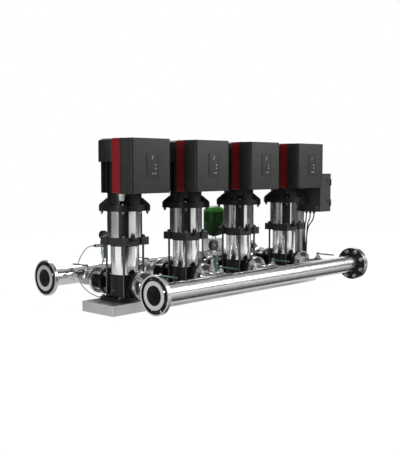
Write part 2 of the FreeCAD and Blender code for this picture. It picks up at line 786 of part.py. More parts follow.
def make_wing_handle(x, y):
    """The green wing handle in front of a stand's valve, upright while the valve is open."""
    wing = block("%s - wing_width / 2" % x, "%s - wing_out - wing_thick" % y,
                 "stand_centre - wing_length / 2", "wing_width", "wing_thick", "wing_length")
    stem = rod("-y", x, "%s - stand_valve_flats / 2 - lever_gap" % y, "stand_centre",
               "wing_stem_od", "wing_out - stand_valve_flats / 2 - lever_gap + wing_thick / 2")
    return fuse(wing, stem)


def dome_outline(base, away):
    """The rim of a tank's end in two slopes, from its wall up to the flat of its crown."""
    last = 66
    rise = math.sin(math.radians(last))
    return [("%.6f * tank_od" % math.cos(math.radians(angle)),
             "%s %s %.6f * tank_dome" % (base, away, math.sin(math.radians(angle)) / rise))
            for angle in (0, last / 2, last)]


def make_tank():
    """Small diaphragm tank on a sheet box that rides on the discharge main."""
    y = manifold_y("discharge")
    lower = dome_outline("tank_bottom + tank_dome", "-")
    upper = dome_outline("tank_top - tank_dome", "+")
    shell = turned("tank_shell", [("0", "tank_bottom")] + lower[::-1] + upper
                   + [("0", "tank_top")])
    place(shell, "tank_along", y, "0")
    neck = hexagon("z", "tank_along", y, "stand_box_top", "tank_neck_flats",
                   "tank_bottom + tank_neck_sink - stand_box_top")
    node("pressure_tank", fuse(shell, neck))
    outer = centred_block("tank_along", y, MAIN_CREST, "stand_box_length", "stand_box_width",
                          "stand_box_top - " + MAIN_CREST)
    rim = centred_block("tank_along", y, MAIN_CREST, "stand_box_length + 2 * stand_box_rim",
                        "stand_box_width + 2 * stand_box_rim", "stand_box_rim")
    inner = centred_block("tank_along", y, MAIN_CREST + " + stand_box_rim",
                          "stand_box_length - 2 * stand_box_wall",
                          "stand_box_width - 2 * stand_box_wall",
                          "stand_box_top - stand_box_wall - stand_box_rim - " + MAIN_CREST)
    node("tank_stand", cut(fuse(outer, rim), inner))


DOOR_X = "(cabinet_start + cabinet_depth + door_gap)"
HINGE_X = "(cabinet_start + cabinet_depth + door_gap + door_thick / 2)"
HINGE_Y = "(-cabinet_width / 2 - door_gap - hinge_od / 2)"


def hinge_heights():
    """Where the two hinges' door knuckles start."""
    return ("cabinet_bottom + hinge_inset",
            "cabinet_bottom + cabinet_height - hinge_inset - 2 * hinge_height - hinge_gap")


def make_cabinet():
    """Control cabinet, open at the front, with its mounting plate and what is on it."""
    body = block("cabinet_start", "-cabinet_width / 2", "cabinet_bottom", "cabinet_depth",
                 "cabinet_width", "cabinet_height")
    room = block("cabinet_start + cabinet_wall", "-cabinet_width / 2 + cabinet_wall",
                 "cabinet_bottom + cabinet_wall", "cabinet_depth",
                 "cabinet_width - 2 * cabinet_wall", "cabinet_height - 2 * cabinet_wall")
    node("cabinet_body", cut(body, room))
    plate = block("cabinet_start + cabinet_wall", "-cabinet_width / 2 + plate_inset",
                  "cabinet_bottom + plate_inset", "plate_thick",
                  "cabinet_width - 2 * plate_inset", "cabinet_height - 2 * plate_inset")
    units = [block("cabinet_start + cabinet_wall + plate_thick",
                   "-cabinet_width / 2 + %s_side" % unit, "cabinet_bottom + %s_rise" % unit,
                   unit + "_depth", unit + "_width", unit + "_height")
             for unit in ("controller", "breaker", "terminal")]
    node("cabinet_fittings", plate, *units)


def make_door():
    """The cabinet's door with two knuckles, and the hinges whose pins they turn on."""
    panel = block(DOOR_X, "-cabinet_width / 2", "cabinet_bottom", "door_thick",
                  "cabinet_width", "cabinet_height")
    knob_hole = rod("x", DOOR_X, "knob_along", "knob_height", "spindle_od + 2 * knob_gap",
                    "door_thick")
    knuckles, bores, hinges = [], [], []
    for z in hinge_heights():
        upper = "%s + hinge_height + hinge_gap" % z
        knuckles.append(bar("z", STUD_FLATS, HINGE_X, HINGE_Y, z, "hinge_od", "hinge_height"))
        knuckles.append(block(HINGE_X + " - hinge_leaf / 2", HINGE_Y, z, "hinge_leaf",
                              "hinge_od / 2 + door_gap", "hinge_height"))
        bores.append(rod("z", HINGE_X, HINGE_Y, z, "hinge_pin_od + 2 * shaft_gap",
                         "hinge_height"))
        strap = block("cabinet_start + cabinet_depth - hinge_strap",
                      "-cabinet_width / 2 - hinge_leaf", upper,
                      "hinge_strap + door_gap + door_thick / 2", "hinge_leaf", "hinge_height")
        barrel = bar("z", STUD_FLATS, HINGE_X, HINGE_Y, upper, "hinge_od", "hinge_height")
        pin = rod("z", HINGE_X, HINGE_Y, z, "hinge_pin_od", "hinge_height + hinge_gap")
        hinges.append(fuse(barrel, pin, strap))
    node("cabinet_door", cut(fuse(panel, *knuckles), knob_hole, *bores))
    node("cabinet_hinges", *hinges)


def make_main_switch():
    """Main switch on the door: a knob with a grip bar, on a round spindle."""
    face = DOOR_X + " + door_thick + knob_gap"
    knob = hexagon("x", face, "knob_along", "knob_height", "knob_od", "knob_thick")
    grip = block(face, "knob_along - grip_width / 2", "knob_height - grip_length / 2",
                 "knob_thick + grip_rise", "grip_width", "grip_length")
    spindle = rod("x", DOOR_X + " + spindle_inset", "knob_along", "knob_height", "spindle_od",
                  "door_thick + knob_gap + knob_thick / 2")
    node("main_switch", fuse(knob, grip, spindle))


def make_cabinet_post():
    """Square post on a foot plate, with a head plate under the cabinet."""
    foot = block("post_along", "-post_width / 2", "frame_height", "post_depth",
                 "post_width + post_foot_reach", "post_foot")
    post = block("post_along", "-post_width / 2", "frame_height", "post_depth", "post_width",
                 "cabinet_bottom - frame_height")
    head = block("post_along", "-post_width / 2 - post_head_reach", "cabinet_bottom - post_foot",
                 "post_head_depth", "post_width + 2 * post_head_reach", "post_foot")
    node("cabinet_post", fuse(foot, post, head))


def tube(name, route, diameter):
    """A lead along its route: straight runs joined by arcs as large as the runs allow."""
    step = 2 * math.pi / LEAD_FLATS
    corner = diameter / 2 * math.sqrt(step / math.sin(step))
    ring = Part.Circle(route[0], route[1] - route[0], corner)
    corners = [ring.value(step * k) for k in range(LEAD_FLATS)]
    face = Part.Face(Part.makePolygon(corners + corners[:1]))
    pieces, radii, length, last = [], [], 0, route[0]
    for i in range(1, len(route) - 1):
        arrive, leave = route[i] - route[i - 1], route[i + 1] - route[i]
        turn = arrive.getAngle(leave)
        back = 0.45 * min(arrive.Length, leave.Length)
        radius = back / math.tan(turn / 2)
        start = route[i] - Vector(arrive).normalize() * back
        axis = arrive.cross(leave).normalize()
        centre = start + axis.cross(arrive).normalize() * radius
        pieces.append(face.extrude(start - last))
        face.translate(start - last)
        pieces.append(face.revolve(centre, axis, math.degrees(turn)))
        face.rotate(centre, axis, math.degrees(turn))
        length += (start - last).Length + radius * turn
        radii.append(radius)
        last = route[i] + Vector(leave).normalize() * back
    pieces.append(face.extrude(route[-1] - last))
    length += (route[-1] - last).Length
    solid = pieces[0].fuse(pieces[1:])
    drift = abs(solid.Volume / (math.pi * diameter ** 2 / 4 * length) - 1)
    print("%s: length %.0f mm, radii %s, volume off by %.2f %%"
          % (name, length, " ".join("%.0f" % r for r in radii), 100 * drift))
    if drift > 0.02 or len(solid.Solids) != 1:
        raise RuntimeError("the volume of %s is not its section times its length" % name)
    obj = doc.addObject("Part::Feature", name + "_tube")
    obj.Shape = solid.Solids[0]
    return obj


# Routes of the leads, chosen by hand, in millimetres
POWER_ROUTES = [
    [(988, -8, 494), (988, -8, 455), (982, -36, 400), (982, -36, 60)],
    [(988, -42, 494), (988, -42, 450), (972, -36, 395), (972, -36, 60)],
    [(988, -76, 494), (988, -76, 455), (982, -47, 405), (982, -47, 60)],
    [(988, -110, 494), (988, -110, 448), (971, -47, 380), (971, -47, 60)],
]
SENSOR_ROUTE = [
    (-588, 519, 326), (-628, 519, 326), (-656, 536, 292), (-664, 572, 236), (-664, 594, 172),
    (-661, 582, 104), (-656, 530, 52), (-650, 456, 20), (-645, 372, 9), (-642, 288, 12),
    (-640, 210, 30), (-640, 139, 30),
]


def make_leads():
    """Four supply leads from the cabinet into the frame, and the pressure sender's lead."""
    tubes = []
    for k, route in enumerate(POWER_ROUTES):
        points = [Vector(*p) for p in route]
        tubes.append(tube("power_lead_%d" % (k + 1), points, size("power_lead_od")))
    node("power_leads", *tubes)
    points = [Vector(*p) for p in SENSOR_ROUTE]
    node("sensor_lead", tube("sensor_lead", points, size("sensor_lead_od")))


def check_and_export():
    """Stop at anything broken, then write one file for each node."""
    doc.recompute()
    for obj in doc.Objects:
        if any(state in ("Invalid", "Error") for state in obj.State):
            raise RuntimeError("%s (%s) failed: %s" % (obj.Name, obj.Label, obj.State))
    for label, obj in nodes.items():
        shape = Part.getShape(obj)
        if shape.isNull() or not shape.isValid() or not shape.Solids:
            raise RuntimeError("the shape of %s is null or not valid" % label)
        shape.exportStep("parts/%s.step" % label)


make_base_frame()
make_manifolds()
make_pipe_collars()
make_manifold_flanges()
make_closed_ends()
make_pump_bases()
make_sleeves()
make_pump_heads()
make_staybolts()
make_coupling_guards()
make_motors()
make_fan_covers()
make_drives()
make_key_mats()
make_glands()
make_rotors()
make_branches()
make_branch_valves()
make_gauge_stands()
make_tank()
make_cabinet()
make_door()
make_main_switch()
make_cabinet_post()
make_leads()
check_and_export()
print("%d nodes" % len(nodes))
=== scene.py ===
import math

import bmesh
import bpy
from mathutils import Matrix, Vector


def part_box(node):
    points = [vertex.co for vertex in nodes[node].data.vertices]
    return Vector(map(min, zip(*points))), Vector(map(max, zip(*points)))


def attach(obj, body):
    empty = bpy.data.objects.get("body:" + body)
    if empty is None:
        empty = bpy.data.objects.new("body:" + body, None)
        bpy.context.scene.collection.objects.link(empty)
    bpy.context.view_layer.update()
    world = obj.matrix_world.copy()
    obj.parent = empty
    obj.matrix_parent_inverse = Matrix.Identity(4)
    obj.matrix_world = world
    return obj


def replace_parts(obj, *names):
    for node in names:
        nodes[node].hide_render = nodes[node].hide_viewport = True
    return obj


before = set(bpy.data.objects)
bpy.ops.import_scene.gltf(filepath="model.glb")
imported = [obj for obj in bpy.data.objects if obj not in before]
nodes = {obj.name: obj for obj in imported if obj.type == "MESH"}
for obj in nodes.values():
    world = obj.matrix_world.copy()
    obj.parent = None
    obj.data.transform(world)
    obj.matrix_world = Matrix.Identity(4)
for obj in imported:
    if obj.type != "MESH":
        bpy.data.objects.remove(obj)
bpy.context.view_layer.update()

# Sizes in metres. X runs along the pump row, -Y is the panel side, Z is up.
PORT_HEIGHT = 0.155
PORT_FACE = 0.150
PORT_BOLT_CIRCLE = 0.125
PORT_FLANGE_RADIUS = 0.0825
PORT_FLANGE_THICK = 0.022
PORT_RING_BACK = 0.0195
CHECK_LENGTH = 0.066
BRANCH_RADIUS = 0.03015
VALVE_FROM_MAIN = 0.160
VALVE_LENGTH = 0.096
MAIN_RADIUS = 0.05715
MAIN_END = 0.973
SUCTION_MAIN = 0.458
DISCHARGE_MAIN = 0.519
MAIN_BOLT_CIRCLE = 0.180
MAIN_FLANGE_THICK = 0.020
LIP_THICK = 0.004
DISH_DEPTH = 0.008
DISH_INSIDE = 0.0802
DISH_OUTSIDE = 0.1025
BLIND_THICK = 0.018
M16_FLATS = 0.024
FOOT_TOP = 0.082
FOOT_BOLT_X = 0.105
FOOT_BOLT_Y = 0.074
CASING_RADIUS = 0.088
CASING_TOP = 0.2135
SLEEVE_RADIUS = 0.085
SLEEVE_TOP = 0.3845
HEAD_TOP = 0.4305
STAY_OFFSET = 0.0755
GUARD_RADIUS = 0.1022
STOOL_TOP = 0.6015
LUG_BOLT_OUT = 0.133
MOTOR_FLANGE_TOP = 0.6195
GUSSET_TOP = 0.658
MOTOR_BOTTOM = 0.689
FAN_Y = 0.034
DRIVE_TOP = 1.000
DRIVE_FRONT = -0.233
DRIVE_HALF_WIDTH = 0.150
BAND_FRONT = -0.1345
STAND_ALONG = -0.503
SENDER_HEIGHT = 0.326
TANK_STAND_TOP = 0.300
CABINET_BOTTOM = 0.510
CABINET_FACE = 1.0685
PLATE_FACE = 0.956
SHARP_ANGLE = math.radians(32)
CORNERS = [(-1, -1), (-1, 1), (1, -1), (1, 1)]

PICTURE_HEIGHT = 450
FOCAL_PIXELS = 787.16
SENSOR_WIDTH = 36
CAMERA_PLACE = Vector((-3.8249, -3.474, 0.8425))
CAMERA_TURN = math.radians(46.794)
CAMERA_DIP = math.radians(4.274)

pump_x = [sum(p.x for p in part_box("rotor_%d" % i)) / 2 for i in range(1, 5)]

# Each side: its name, its sense along Y, its main's Y and where its branch ring bears
SIDES = [("suction", -1, SUCTION_MAIN, PORT_FACE),
         ("discharge", 1, DISCHARGE_MAIN, PORT_FACE + CHECK_LENGTH)]


# Camera

def place_new(name, data):
    """A new object with its data, linked to the scene."""
    obj = bpy.data.objects.new(name, data)
    bpy.context.scene.collection.objects.link(obj)
    return obj


def aim(obj, place, ahead):
    """Put a camera or a lamp at a place, looking ahead."""
    obj.location = place
    obj.rotation_mode = "QUATERNION"
    obj.rotation_quaternion = ahead.to_track_quat("-Z", "Y")


def make_camera():
    """The photograph's camera, fitted to the object's known places."""
    data = bpy.data.cameras.new("camera")
    data.sensor_width = SENSOR_WIDTH
    data.lens = FOCAL_PIXELS / PICTURE_HEIGHT * SENSOR_WIDTH
    data.clip_start, data.clip_end = 0.05, 60
    camera = place_new("camera", data)
    aim(camera, CAMERA_PLACE, Vector((math.sin(CAMERA_TURN) * math.cos(CAMERA_DIP),
                                      math.cos(CAMERA_TURN) * math.cos(CAMERA_DIP),
                                      -math.sin(CAMERA_DIP))))
    bpy.context.scene.camera = camera


make_camera()


# Materials

class Surface:
    """A procedural material under construction: one Principled shader and what feeds it."""

    def __init__(self, name, rough, metallic=0.0, specular=0.5):
        self.material = bpy.data.materials.new(name)
        self.material.use_nodes = True
        self.tree = self.material.node_tree
        self.shader = self.tree.nodes["Principled BSDF"]
        self.shader.inputs["Roughness"].default_value = rough
        self.shader.inputs["Metallic"].default_value = metallic
        self.shader.inputs["Specular IOR Level"].default_value = specular
        self.coordinates = self.tree.nodes.new("ShaderNodeTexCoord")

    def link(self, source, target):
        self.tree.links.new(source, target)

    def feed(self, name, source):
        """Let a value lead one of the shader's inputs."""
        self.link(source, self.shader.inputs[name])

    def noise(self, scale, detail, stretch=(1, 1, 1)):
        """A noise value over the object's own coordinates, stretched along an axis."""
        mapping = self.tree.nodes.new("ShaderNodeMapping")
        mapping.inputs["Scale"].default_value = stretch
        self.link(self.coordinates.outputs["Object"], mapping.inputs["Vector"])
        noise = self.tree.nodes.new("ShaderNodeTexNoise")
        noise.inputs["Scale"].default_value = scale
        noise.inputs["Detail"].default_value = detail
        noise.inputs["Roughness"].default_value = 0.55
        self.link(mapping.outputs["Vector"], noise.inputs["Vector"])
        return noise.outputs["Fac"]

    def ramp(self, value, stops):
        """A colour ramp: stops lists place and colour or grey."""
        node = self.tree.nodes.new("ShaderNodeValToRGB")
        elements = node.color_ramp.elements
        while len(elements) < len(stops):
            elements.new(0.5)
        for element, (place, colour) in zip(elements, stops):
            element.position = place
            rgb = colour if hasattr(colour, "__len__") else (colour, colour, colour)
            element.color = (*rgb, 1)
        self.link(value, node.inputs["Fac"])
        return node.outputs["Color"]

    def mottle(self, low, high, scale):
        """Colour that wanders between two tones."""
        self.feed("Base Color", self.ramp(self.noise(scale, 4), [(0.35, low), (0.65, high)]))

    def bump(self, value, strength, depth):
        """Fine relief, its depth in metres."""
        node = self.tree.nodes.new("ShaderNodeBump")
        node.inputs["Strength"].default_value = strength
        node.inputs["Distance"].default_value = depth
        self.link(value, node.inputs["Height"])
        self.feed("Normal", node.outputs["Normal"])


def metal(name, tone, rough, grain_scale, stretch, grain, wander=0.05):
    """Bare steel with a fine directional grain."""
    surface = Surface(name, rough, metallic=1.0)
    surface.mottle(tuple(c * (1 - wander) for c in tone), tone, 9)
    fine = surface.noise(grain_scale, 3, stretch)
    surface.feed("Roughness", surface.ramp(fine, [(0.3, rough * 0.75), (0.7, rough * 1.3)]))
    surface.bump(fine, grain, 0.0002)
    return surface.material


def coated(name, low, high, rough, pore_scale, pore, specular=0.5, depth=0.0003):
    """Paint or moulded plastic: a fine orange peel or grain over a wandering tone."""
    surface = Surface(name, rough, specular=specular)
    surface.mottle(low, high, 14)
    wear = surface.noise(38, 5)
    surface.feed("Roughness", surface.ramp(wear, [(0.3, rough * 0.85), (0.7, rough * 1.15)]))
    surface.bump(surface.noise(pore_scale, 2), pore, depth)
    return surface.material


def black_grained(name, tone, rough, pore_scale, pore):
    """A black casting or moulding with a coarser grain."""
    return coated(name, (tone, tone, tone * 1.02), (tone * 1.7, tone * 1.7, tone * 1.75),
                  rough, pore_scale, pore, 0.22, 0.0005)


def green_tank():
    """Green enamel with painted light and shade: dark on the wall, brighter upwards, a pale
    painted highlight on the dome, and a fine orange peel.
    """
    painted_light_bottom, painted_light_top = 0.32, 0.546
    surface = Surface("green_tank", 0.34, specular=0.18)
    split = surface.tree.nodes.new("ShaderNodeSeparateXYZ")
    surface.link(surface.coordinates.outputs["Object"], split.inputs[0])
    painted_light_rise = surface.tree.nodes.new("ShaderNodeMapRange")
    painted_light_rise.inputs["From Min"].default_value = painted_light_bottom
    painted_light_rise.inputs["From Max"].default_value = painted_light_top
    surface.link(split.outputs["Z"], painted_light_rise.inputs["Value"])
    # Painted light and shade by height: near-black low on the wall, a pale painted highlight on
    # the dome.
    surface.feed("Base Color", surface.ramp(painted_light_rise.outputs["Result"], [
        (0.0, (0.003, 0.020, 0.002)), (0.35, (0.005, 0.046, 0.004)),
        (0.78, (0.007, 0.066, 0.005)), (0.86, (0.070, 0.400, 0.048))]))
    surface.bump(surface.noise(500, 2), 0.15, 0.0003)
    return surface.material


def lit_mark():
    """A pale green light field under the panel film."""
    surface = Surface("lit_mark", 0.3)
    surface.mottle((0.16, 0.24, 0.18), (0.24, 0.34, 0.27), 300)
    surface.shader.inputs["Emission Color"].default_value = (0.40, 0.62, 0.48, 1)
    surface.shader.inputs["Emission Strength"].default_value = 0.15
    return surface.material


# Tone, roughness, the grain's scale, stretch and strength, and how far the tone wanders
METALS = {
    "polished_pipe": ((0.88, 0.88, 0.89), 0.23, 120, (0.3, 8, 8), 0.03),
    "polished_sleeve": ((0.88, 0.88, 0.89), 0.10, 90, (9, 9, 0.3), 0.04),
    "turned_steel": ((0.74, 0.74, 0.75), 0.24, 220, (1, 6, 6), 0.05),
    "bright_fitting": ((0.52, 0.52, 0.53), 0.26, 160, (2, 2, 2), 0.06),
    "bright_sheet": ((0.72, 0.72, 0.73), 0.15, 60, (12, 12, 0.4), 0.1, 0.08),
    "galvanised": ((0.70, 0.70, 0.71), 0.40, 42, (1, 1, 1), 0.1, 0.14),
    "zinc": ((0.74, 0.74, 0.75), 0.24, 300, (1, 1, 1), 0.1),
    # Dark steel for bolts and hinges; the same tone is painted as shade in the nipples' dishes
    "dark_steel_and_dish_shade": ((0.10, 0.10, 0.105), 0.32, 260, (8, 8, 0.5), 0.15),
    # Painted shade: near-black for the near flanges' dishes and the closed ends' ring backs
    "painted_shade_black": ((0.035, 0.035, 0.036), 0.42, 260, (1, 1, 1), 0.15),
}
# Tone, roughness, and the scale and strength of the grain
BLACKS = {
    "black_iron": (0.006, 0.36, 420, 0.35),
    "grey_iron": (0.022, 0.40, 420, 0.35),
    # Black plastic; the same tone is painted as shade on the front covers' rounded edges
    "black_plastic": (0.011, 0.42, 900, 0.25),
}
# Two tones, roughness, the scale and strength of the pores, and the specular level
COATINGS = {
    "graphite": ((0.026, 0.026, 0.027), (0.032, 0.032, 0.033), 0.40, 1400, 0.2, 0.16),
    "panel_film": ((0.024, 0.024, 0.025), (0.029, 0.029, 0.030), 0.34, 2200, 0.1, 0.16),
    "red_band": ((0.185, 0.008, 0.010), (0.215, 0.011, 0.014), 0.36, 1100, 0.2, 0.2),
    "green_grip": ((0.014, 0.085, 0.048), (0.022, 0.120, 0.068), 0.4, 700, 0.2),
    "pale_plastic": ((0.42, 0.47, 0.44), (0.50, 0.55, 0.52), 0.4, 900, 0.15),
    "key_rubber": (0.16, 0.22, 0.55, 1500, 0.2),
    "dial_grey": (0.022, 0.030, 0.5, 700, 0.05),
    "black_sheath": (0.010, 0.018, 0.5, 800, 0.3),
    "grey_sheath": (0.20, 0.26, 0.5, 800, 0.3),
    "dark_enamel": ((0.046, 0.046, 0.047), (0.055, 0.055, 0.056), 0.36, 600, 0.2, 0.15),
}
MATERIALS = {name: metal(name, *row) for name, row in METALS.items()}
MATERIALS.update({name: black_grained(name, *row) for name, row in BLACKS.items()})
MATERIALS.update({name: coated(name, *row) for name, row in COATINGS.items()})
MATERIALS.update(green_tank=green_tank(), lit_mark=lit_mark())

# Each material, and how the names of the nodes that wear it start
WEARERS = {
    "galvanised": ("base_frame", "cabinet_fittings", "cabinet_post"),
    "polished_pipe": ("suction_manifold", "discharge_manifold", "branch_stubs"),
    "polished_sleeve": ("outer_sleeves",),
    "turned_steel": ("pipe_collars", "manifold_flanges", "closed_end_flanges",
                     "branch_flanges"),
    "bright_fitting": ("ball_valves", "gauge_stands", "pressure_senders"),
    "bright_sheet": ("coupling_guards", "tank_stand"),
    "zinc": ("rotor",),
    "dark_steel_and_dish_shade": ("staybolts", "cabinet_hinges"),
    "black_iron": ("pump_bases", "pump_heads", "motors", "check_valves"),
    "black_plastic": ("fan_covers", "pressure_gauges", "sender_plugs", "main_switch"),
    "graphite": ("front_covers",),
    "panel_film": ("control_panels",),
    "red_band": ("drive_housings",),
    "green_tank": ("pressure_tank",),
    "green_grip": ("suction_lever", "discharge_lever", "suction_stand", "discharge_stand"),
    "pale_plastic": ("cable_glands",),
    "key_rubber": ("key_mat",),
    "grey_sheath": ("sensor_lead",),
    "black_sheath": ("power_leads",),
    "dark_enamel": ("cabinet_body", "cabinet_door"),
}


def dress_nodes():
    """Give every carried-over solid its material."""
    for name, obj in nodes.items():
        key = next(key for key, starts in WEARERS.items() if name.startswith(starts))
        obj.data.materials.clear()
        obj.data.materials.append(MATERIALS[key])


def repaint(mesh, material, wanted):
    """A second material on the faces of a mesh that the test picks by middle and normal."""
    mesh.materials.append(MATERIALS[material])
    for face in mesh.polygons:
        if wanted(face.center, face.normal):
            face.material_index = len(mesh.materials) - 1


def in_flange_dish(centre, normal):
    """The floor, the outer wall and the bolt holes of the recess in a near flange: painted
    shade.
    """
    main_y = -SUCTION_MAIN if centre.y < 0 else DISCHARGE_MAIN
    out = math.hypot(centre.y - main_y, centre.z - PORT_HEIGHT)
    if normal.x < -0.9:
        return abs(centre.x + MAIN_END - LIP_THICK - DISH_DEPTH) < 0.0006
    return DISH_INSIDE < out < DISH_OUTSIDE and abs(normal.x) < 0.5


def on_flange_back(centre, normal):
    """The inner faces of the closed ends' rings, round the mains: painted shade."""
    return normal.x < -0.9


def on_head_block(centre, normal):
    """The block of each pump head, below its windowed stool."""
    return centre.z < HEAD_TOP + 0.0005


def on_cover_edge(centre, normal):
    """The upright rounded edges of the front covers, painted black as shade."""
    return abs(normal.x) > 0.15 and normal.y < -0.15 and abs(normal.z) < 0.5


def in_nipple_dish(centre, normal):
    """The dished back of a nipple's ring, where dark steel is painted as shade."""
    across = min(abs(centre.x - x) for x in pump_x)
    out = math.hypot(across, centre.z - PORT_HEIGHT)
    return abs(normal.y) > 0.9 and 0.045 < out < 0.0745 and abs(centre.y) > 0.168


dress_nodes()
# Painted shade: the near flanges' dishes and bolt holes turn near-black.
repaint(nodes["manifold_flanges"].data, "painted_shade_black", in_flange_dish)
# Painted shade: the closed ends' ring backs turn near-black.
repaint(nodes["closed_end_flanges"].data, "painted_shade_black", on_flange_back)
repaint(nodes["pump_heads"].data, "grey_iron", on_head_block)
# Painted shade: the covers' rounded upright edges turn black.
repaint(nodes["front_covers"].data, "black_plastic", on_cover_edge)


# Geometry helpers

def at(place, direction=(0, 0, 1)):
    """A piece's own place and the way that its Z points."""
    turn = Vector(direction).to_track_quat("Z", "Y").to_matrix().to_4x4()
    return Matrix.Translation(Vector(place)) @ turn


def finish_mesh(name, bm, material, body="frame"):
    """Make an object of a bmesh that rides on a body."""
    bmesh.ops.recalc_face_normals(bm, faces=bm.faces)
    mesh = bpy.data.meshes.new(name)
    bm.to_mesh(mesh)
    bm.free()
    obj = place_new(name, mesh)
    mesh.materials.append(MATERIALS[material])
    mesh.shade_smooth()
    mesh.set_sharp_from_angle(angle=SHARP_ANGLE)
    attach(obj, body)
    return obj


def circle(radius, count, start=0.0):
    """Places round a circle, as pairs of across and up."""
    angles = [math.radians(start) + 2 * math.pi * k / count for k in range(count)]
    return [(radius * math.cos(a), radius * math.sin(a)) for a in angles]


def mirrored(outline):
    """An outline that runs up from its middle, and its image below that."""
    return [(radius, -height) for radius, height in reversed(outline)] + outline


def join_rings(bm, rings, closed=False):
    """Faces between neighbouring rings of vertices, and caps or a last join at the ends."""
    count = len(rings[0])
    pairs = list(zip(rings, rings[1:])) + ([(rings[-1], rings[0])] if closed else [])
    for lower, upper in pairs:
        for k in range(count):
            n = (k + 1) % count
            bm.faces.new((lower[k], lower[n], upper[n], upper[k]))
    if not closed:
        bm.faces.new(list(reversed(rings[0])))
        bm.faces.new(rings[-1])


def add_turned(bm, matrix, outline, sides=32, closed=False):
    """A solid of revolution about the matrix's Z: outline lists radius and height."""
    join_rings(bm, [[bm.verts.new(matrix @ Vector((*place, height)))
                     for place in circle(radius, sides)] for radius, height in outline], closed)


def add_hexagonal(bm, matrix, flats, bottom, top, chamfer=0.0015):
    """A hexagonal body with chamfered ends."""
    corner = flats / math.sqrt(3)
    add_turned(bm, matrix, [(corner - chamfer, bottom), (corner, bottom + chamfer),
                            (corner, top - chamfer), (corner - chamfer, top)], 6)


def add_hex_head(bm, place, direction, flats, height):
    """A washer with a chamfered hexagonal head or nut on it."""
    matrix = at(place, direction)
    corner = flats / math.sqrt(3)
    washer = flats * 0.12
    add_turned(bm, matrix, [(corner * 1.12, 0), (corner * 1.12, washer)], 24)
    add_turned(bm, matrix, [(corner, washer), (corner, washer + height * 0.8),
                            (corner * 0.84, washer + height)], 6)


def add_box(bm, low, high, bevel=0.0, segments=2):
    """A box between two corners, its edges bevelled."""
    made = bmesh.ops.create_cube(bm, size=1.0)["verts"]
    low, high = Vector(low), Vector(high)
    for v in made:
        v.co = Vector([(low[i] + high[i]) / 2 + v.co[i] * (high[i] - low[i])
                       for i in range(3)])
    if bevel:
        bmesh.ops.bevel(bm, geom=list({e for v in made for e in v.link_edges}), offset=bevel,
                        segments=segments, affect="EDGES", profile=0.6)


def add_slab(bm, corners, step):
    """A flat piece between an outline and the same outline moved by a step."""
    join_rings(bm, [[bm.verts.new(corner + move) for corner in corners]
                    for move in (Vector(), Vector(step))])


def add_strip(bm, foot, way, ends, step):
    """A flat strip along a way: each end is how far from the foot, and half its width."""
    across = Vector(step).cross(way).normalized()
    (near, near_half), (far, far_half) = ends
    add_slab(bm, [foot + way * out + across * half for out, half in (
        (near, -near_half), (far, -far_half), (far, far_half), (near, near_half))], step)


def port_places(x, y):
    """Where the four bolts of a port flange go through a plane of constant Y."""
    return [Vector((x + across, y, PORT_HEIGHT + up))
            for across, up in circle(PORT_BOLT_CIRCLE / 2, 4, 45)]


def branch_ring(bm, x, sign, main_y, radius, lift):
    """A ring of vertices round a branch, at a lift from its main's curved wall."""
    return [bm.verts.new((x + across,
                          sign * (main_y - math.sqrt(MAIN_RADIUS ** 2 - up ** 2) - lift),
                          PORT_HEIGHT + up)) for across, up in circle(radius, 48)]


# Leads

SENSOR_ROUTE = [
    (-0.588, DISCHARGE_MAIN, SENDER_HEIGHT), (-0.628, DISCHARGE_MAIN, SENDER_HEIGHT),
    (-0.656, 0.536, 0.292), (-0.664, 0.572, 0.236), (-0.664, 0.594, 0.172),
    (-0.661, 0.582, 0.104), (-0.656, 0.530, 0.052), (-0.650, 0.456, 0.020),
    (-0.645, 0.372, 0.009), (-0.642, 0.288, 0.012), (-0.640, 0.210, 0.030),
    (-0.640, 0.139, 0.030),
]
# From a gland down to the bend, and from there down the post
POWER_ROUTES = [
    [(0.988, y, 0.494), (0.988, y, bend), (post_x, post_y, low), (post_x, post_y, 0.060)]
    for y, bend, post_x, post_y, low in (
        (-0.008, 0.455, 0.982, -0.036, 0.400), (-0.042, 0.450, 0.972, -0.036, 0.395),
        (-0.076, 0.455, 0.982, -0.047, 0.405), (-0.110, 0.448, 0.971, -0.047, 0.380))
]


def make_lead(name, route, diameter, material):
    """A round lead on a smooth line through its route."""
    curve = bpy.data.curves.new(name, "CURVE")
    curve.dimensions = "3D"
    curve.bevel_depth = diameter / 2
    curve.bevel_resolution = 4
    curve.resolution_u = 12
    curve.use_fill_caps = True
    spline = curve.splines.new("NURBS")
    spline.points.add(len(route) - 1)
    for point, place in zip(spline.points, route):
        point.co = (*place, 1)
    spline.order_u = 3
    spline.use_endpoint_u = True
    obj = place_new(name, curve)
    curve.materials.append(MATERIALS[material])
    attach(obj, "frame")
    return obj


def make_leads():
    """The pressure sender's loose lead, and the four supply leads down the cabinet post."""
    sensor = make_lead("sensor_lead_sheath", SENSOR_ROUTE, 0.006, "grey_sheath")
    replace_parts(sensor, "sensor_lead")
    for k, route in enumerate(POWER_ROUTES, 1):
        lead = make_lead("supply_lead_%d" % k, route, 0.009, "black_sheath")
        if k == 1:
            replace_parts(lead, "power_leads")
    ties = bmesh.new()
    for z in (0.150, 0.270):
        add_box(ties, (0.9655, -0.0535, z), (0.9875, -0.0302, z + 0.005), 0.0015)
    finish_mesh("lead_ties", ties, "black_plastic")


# Mains and branches

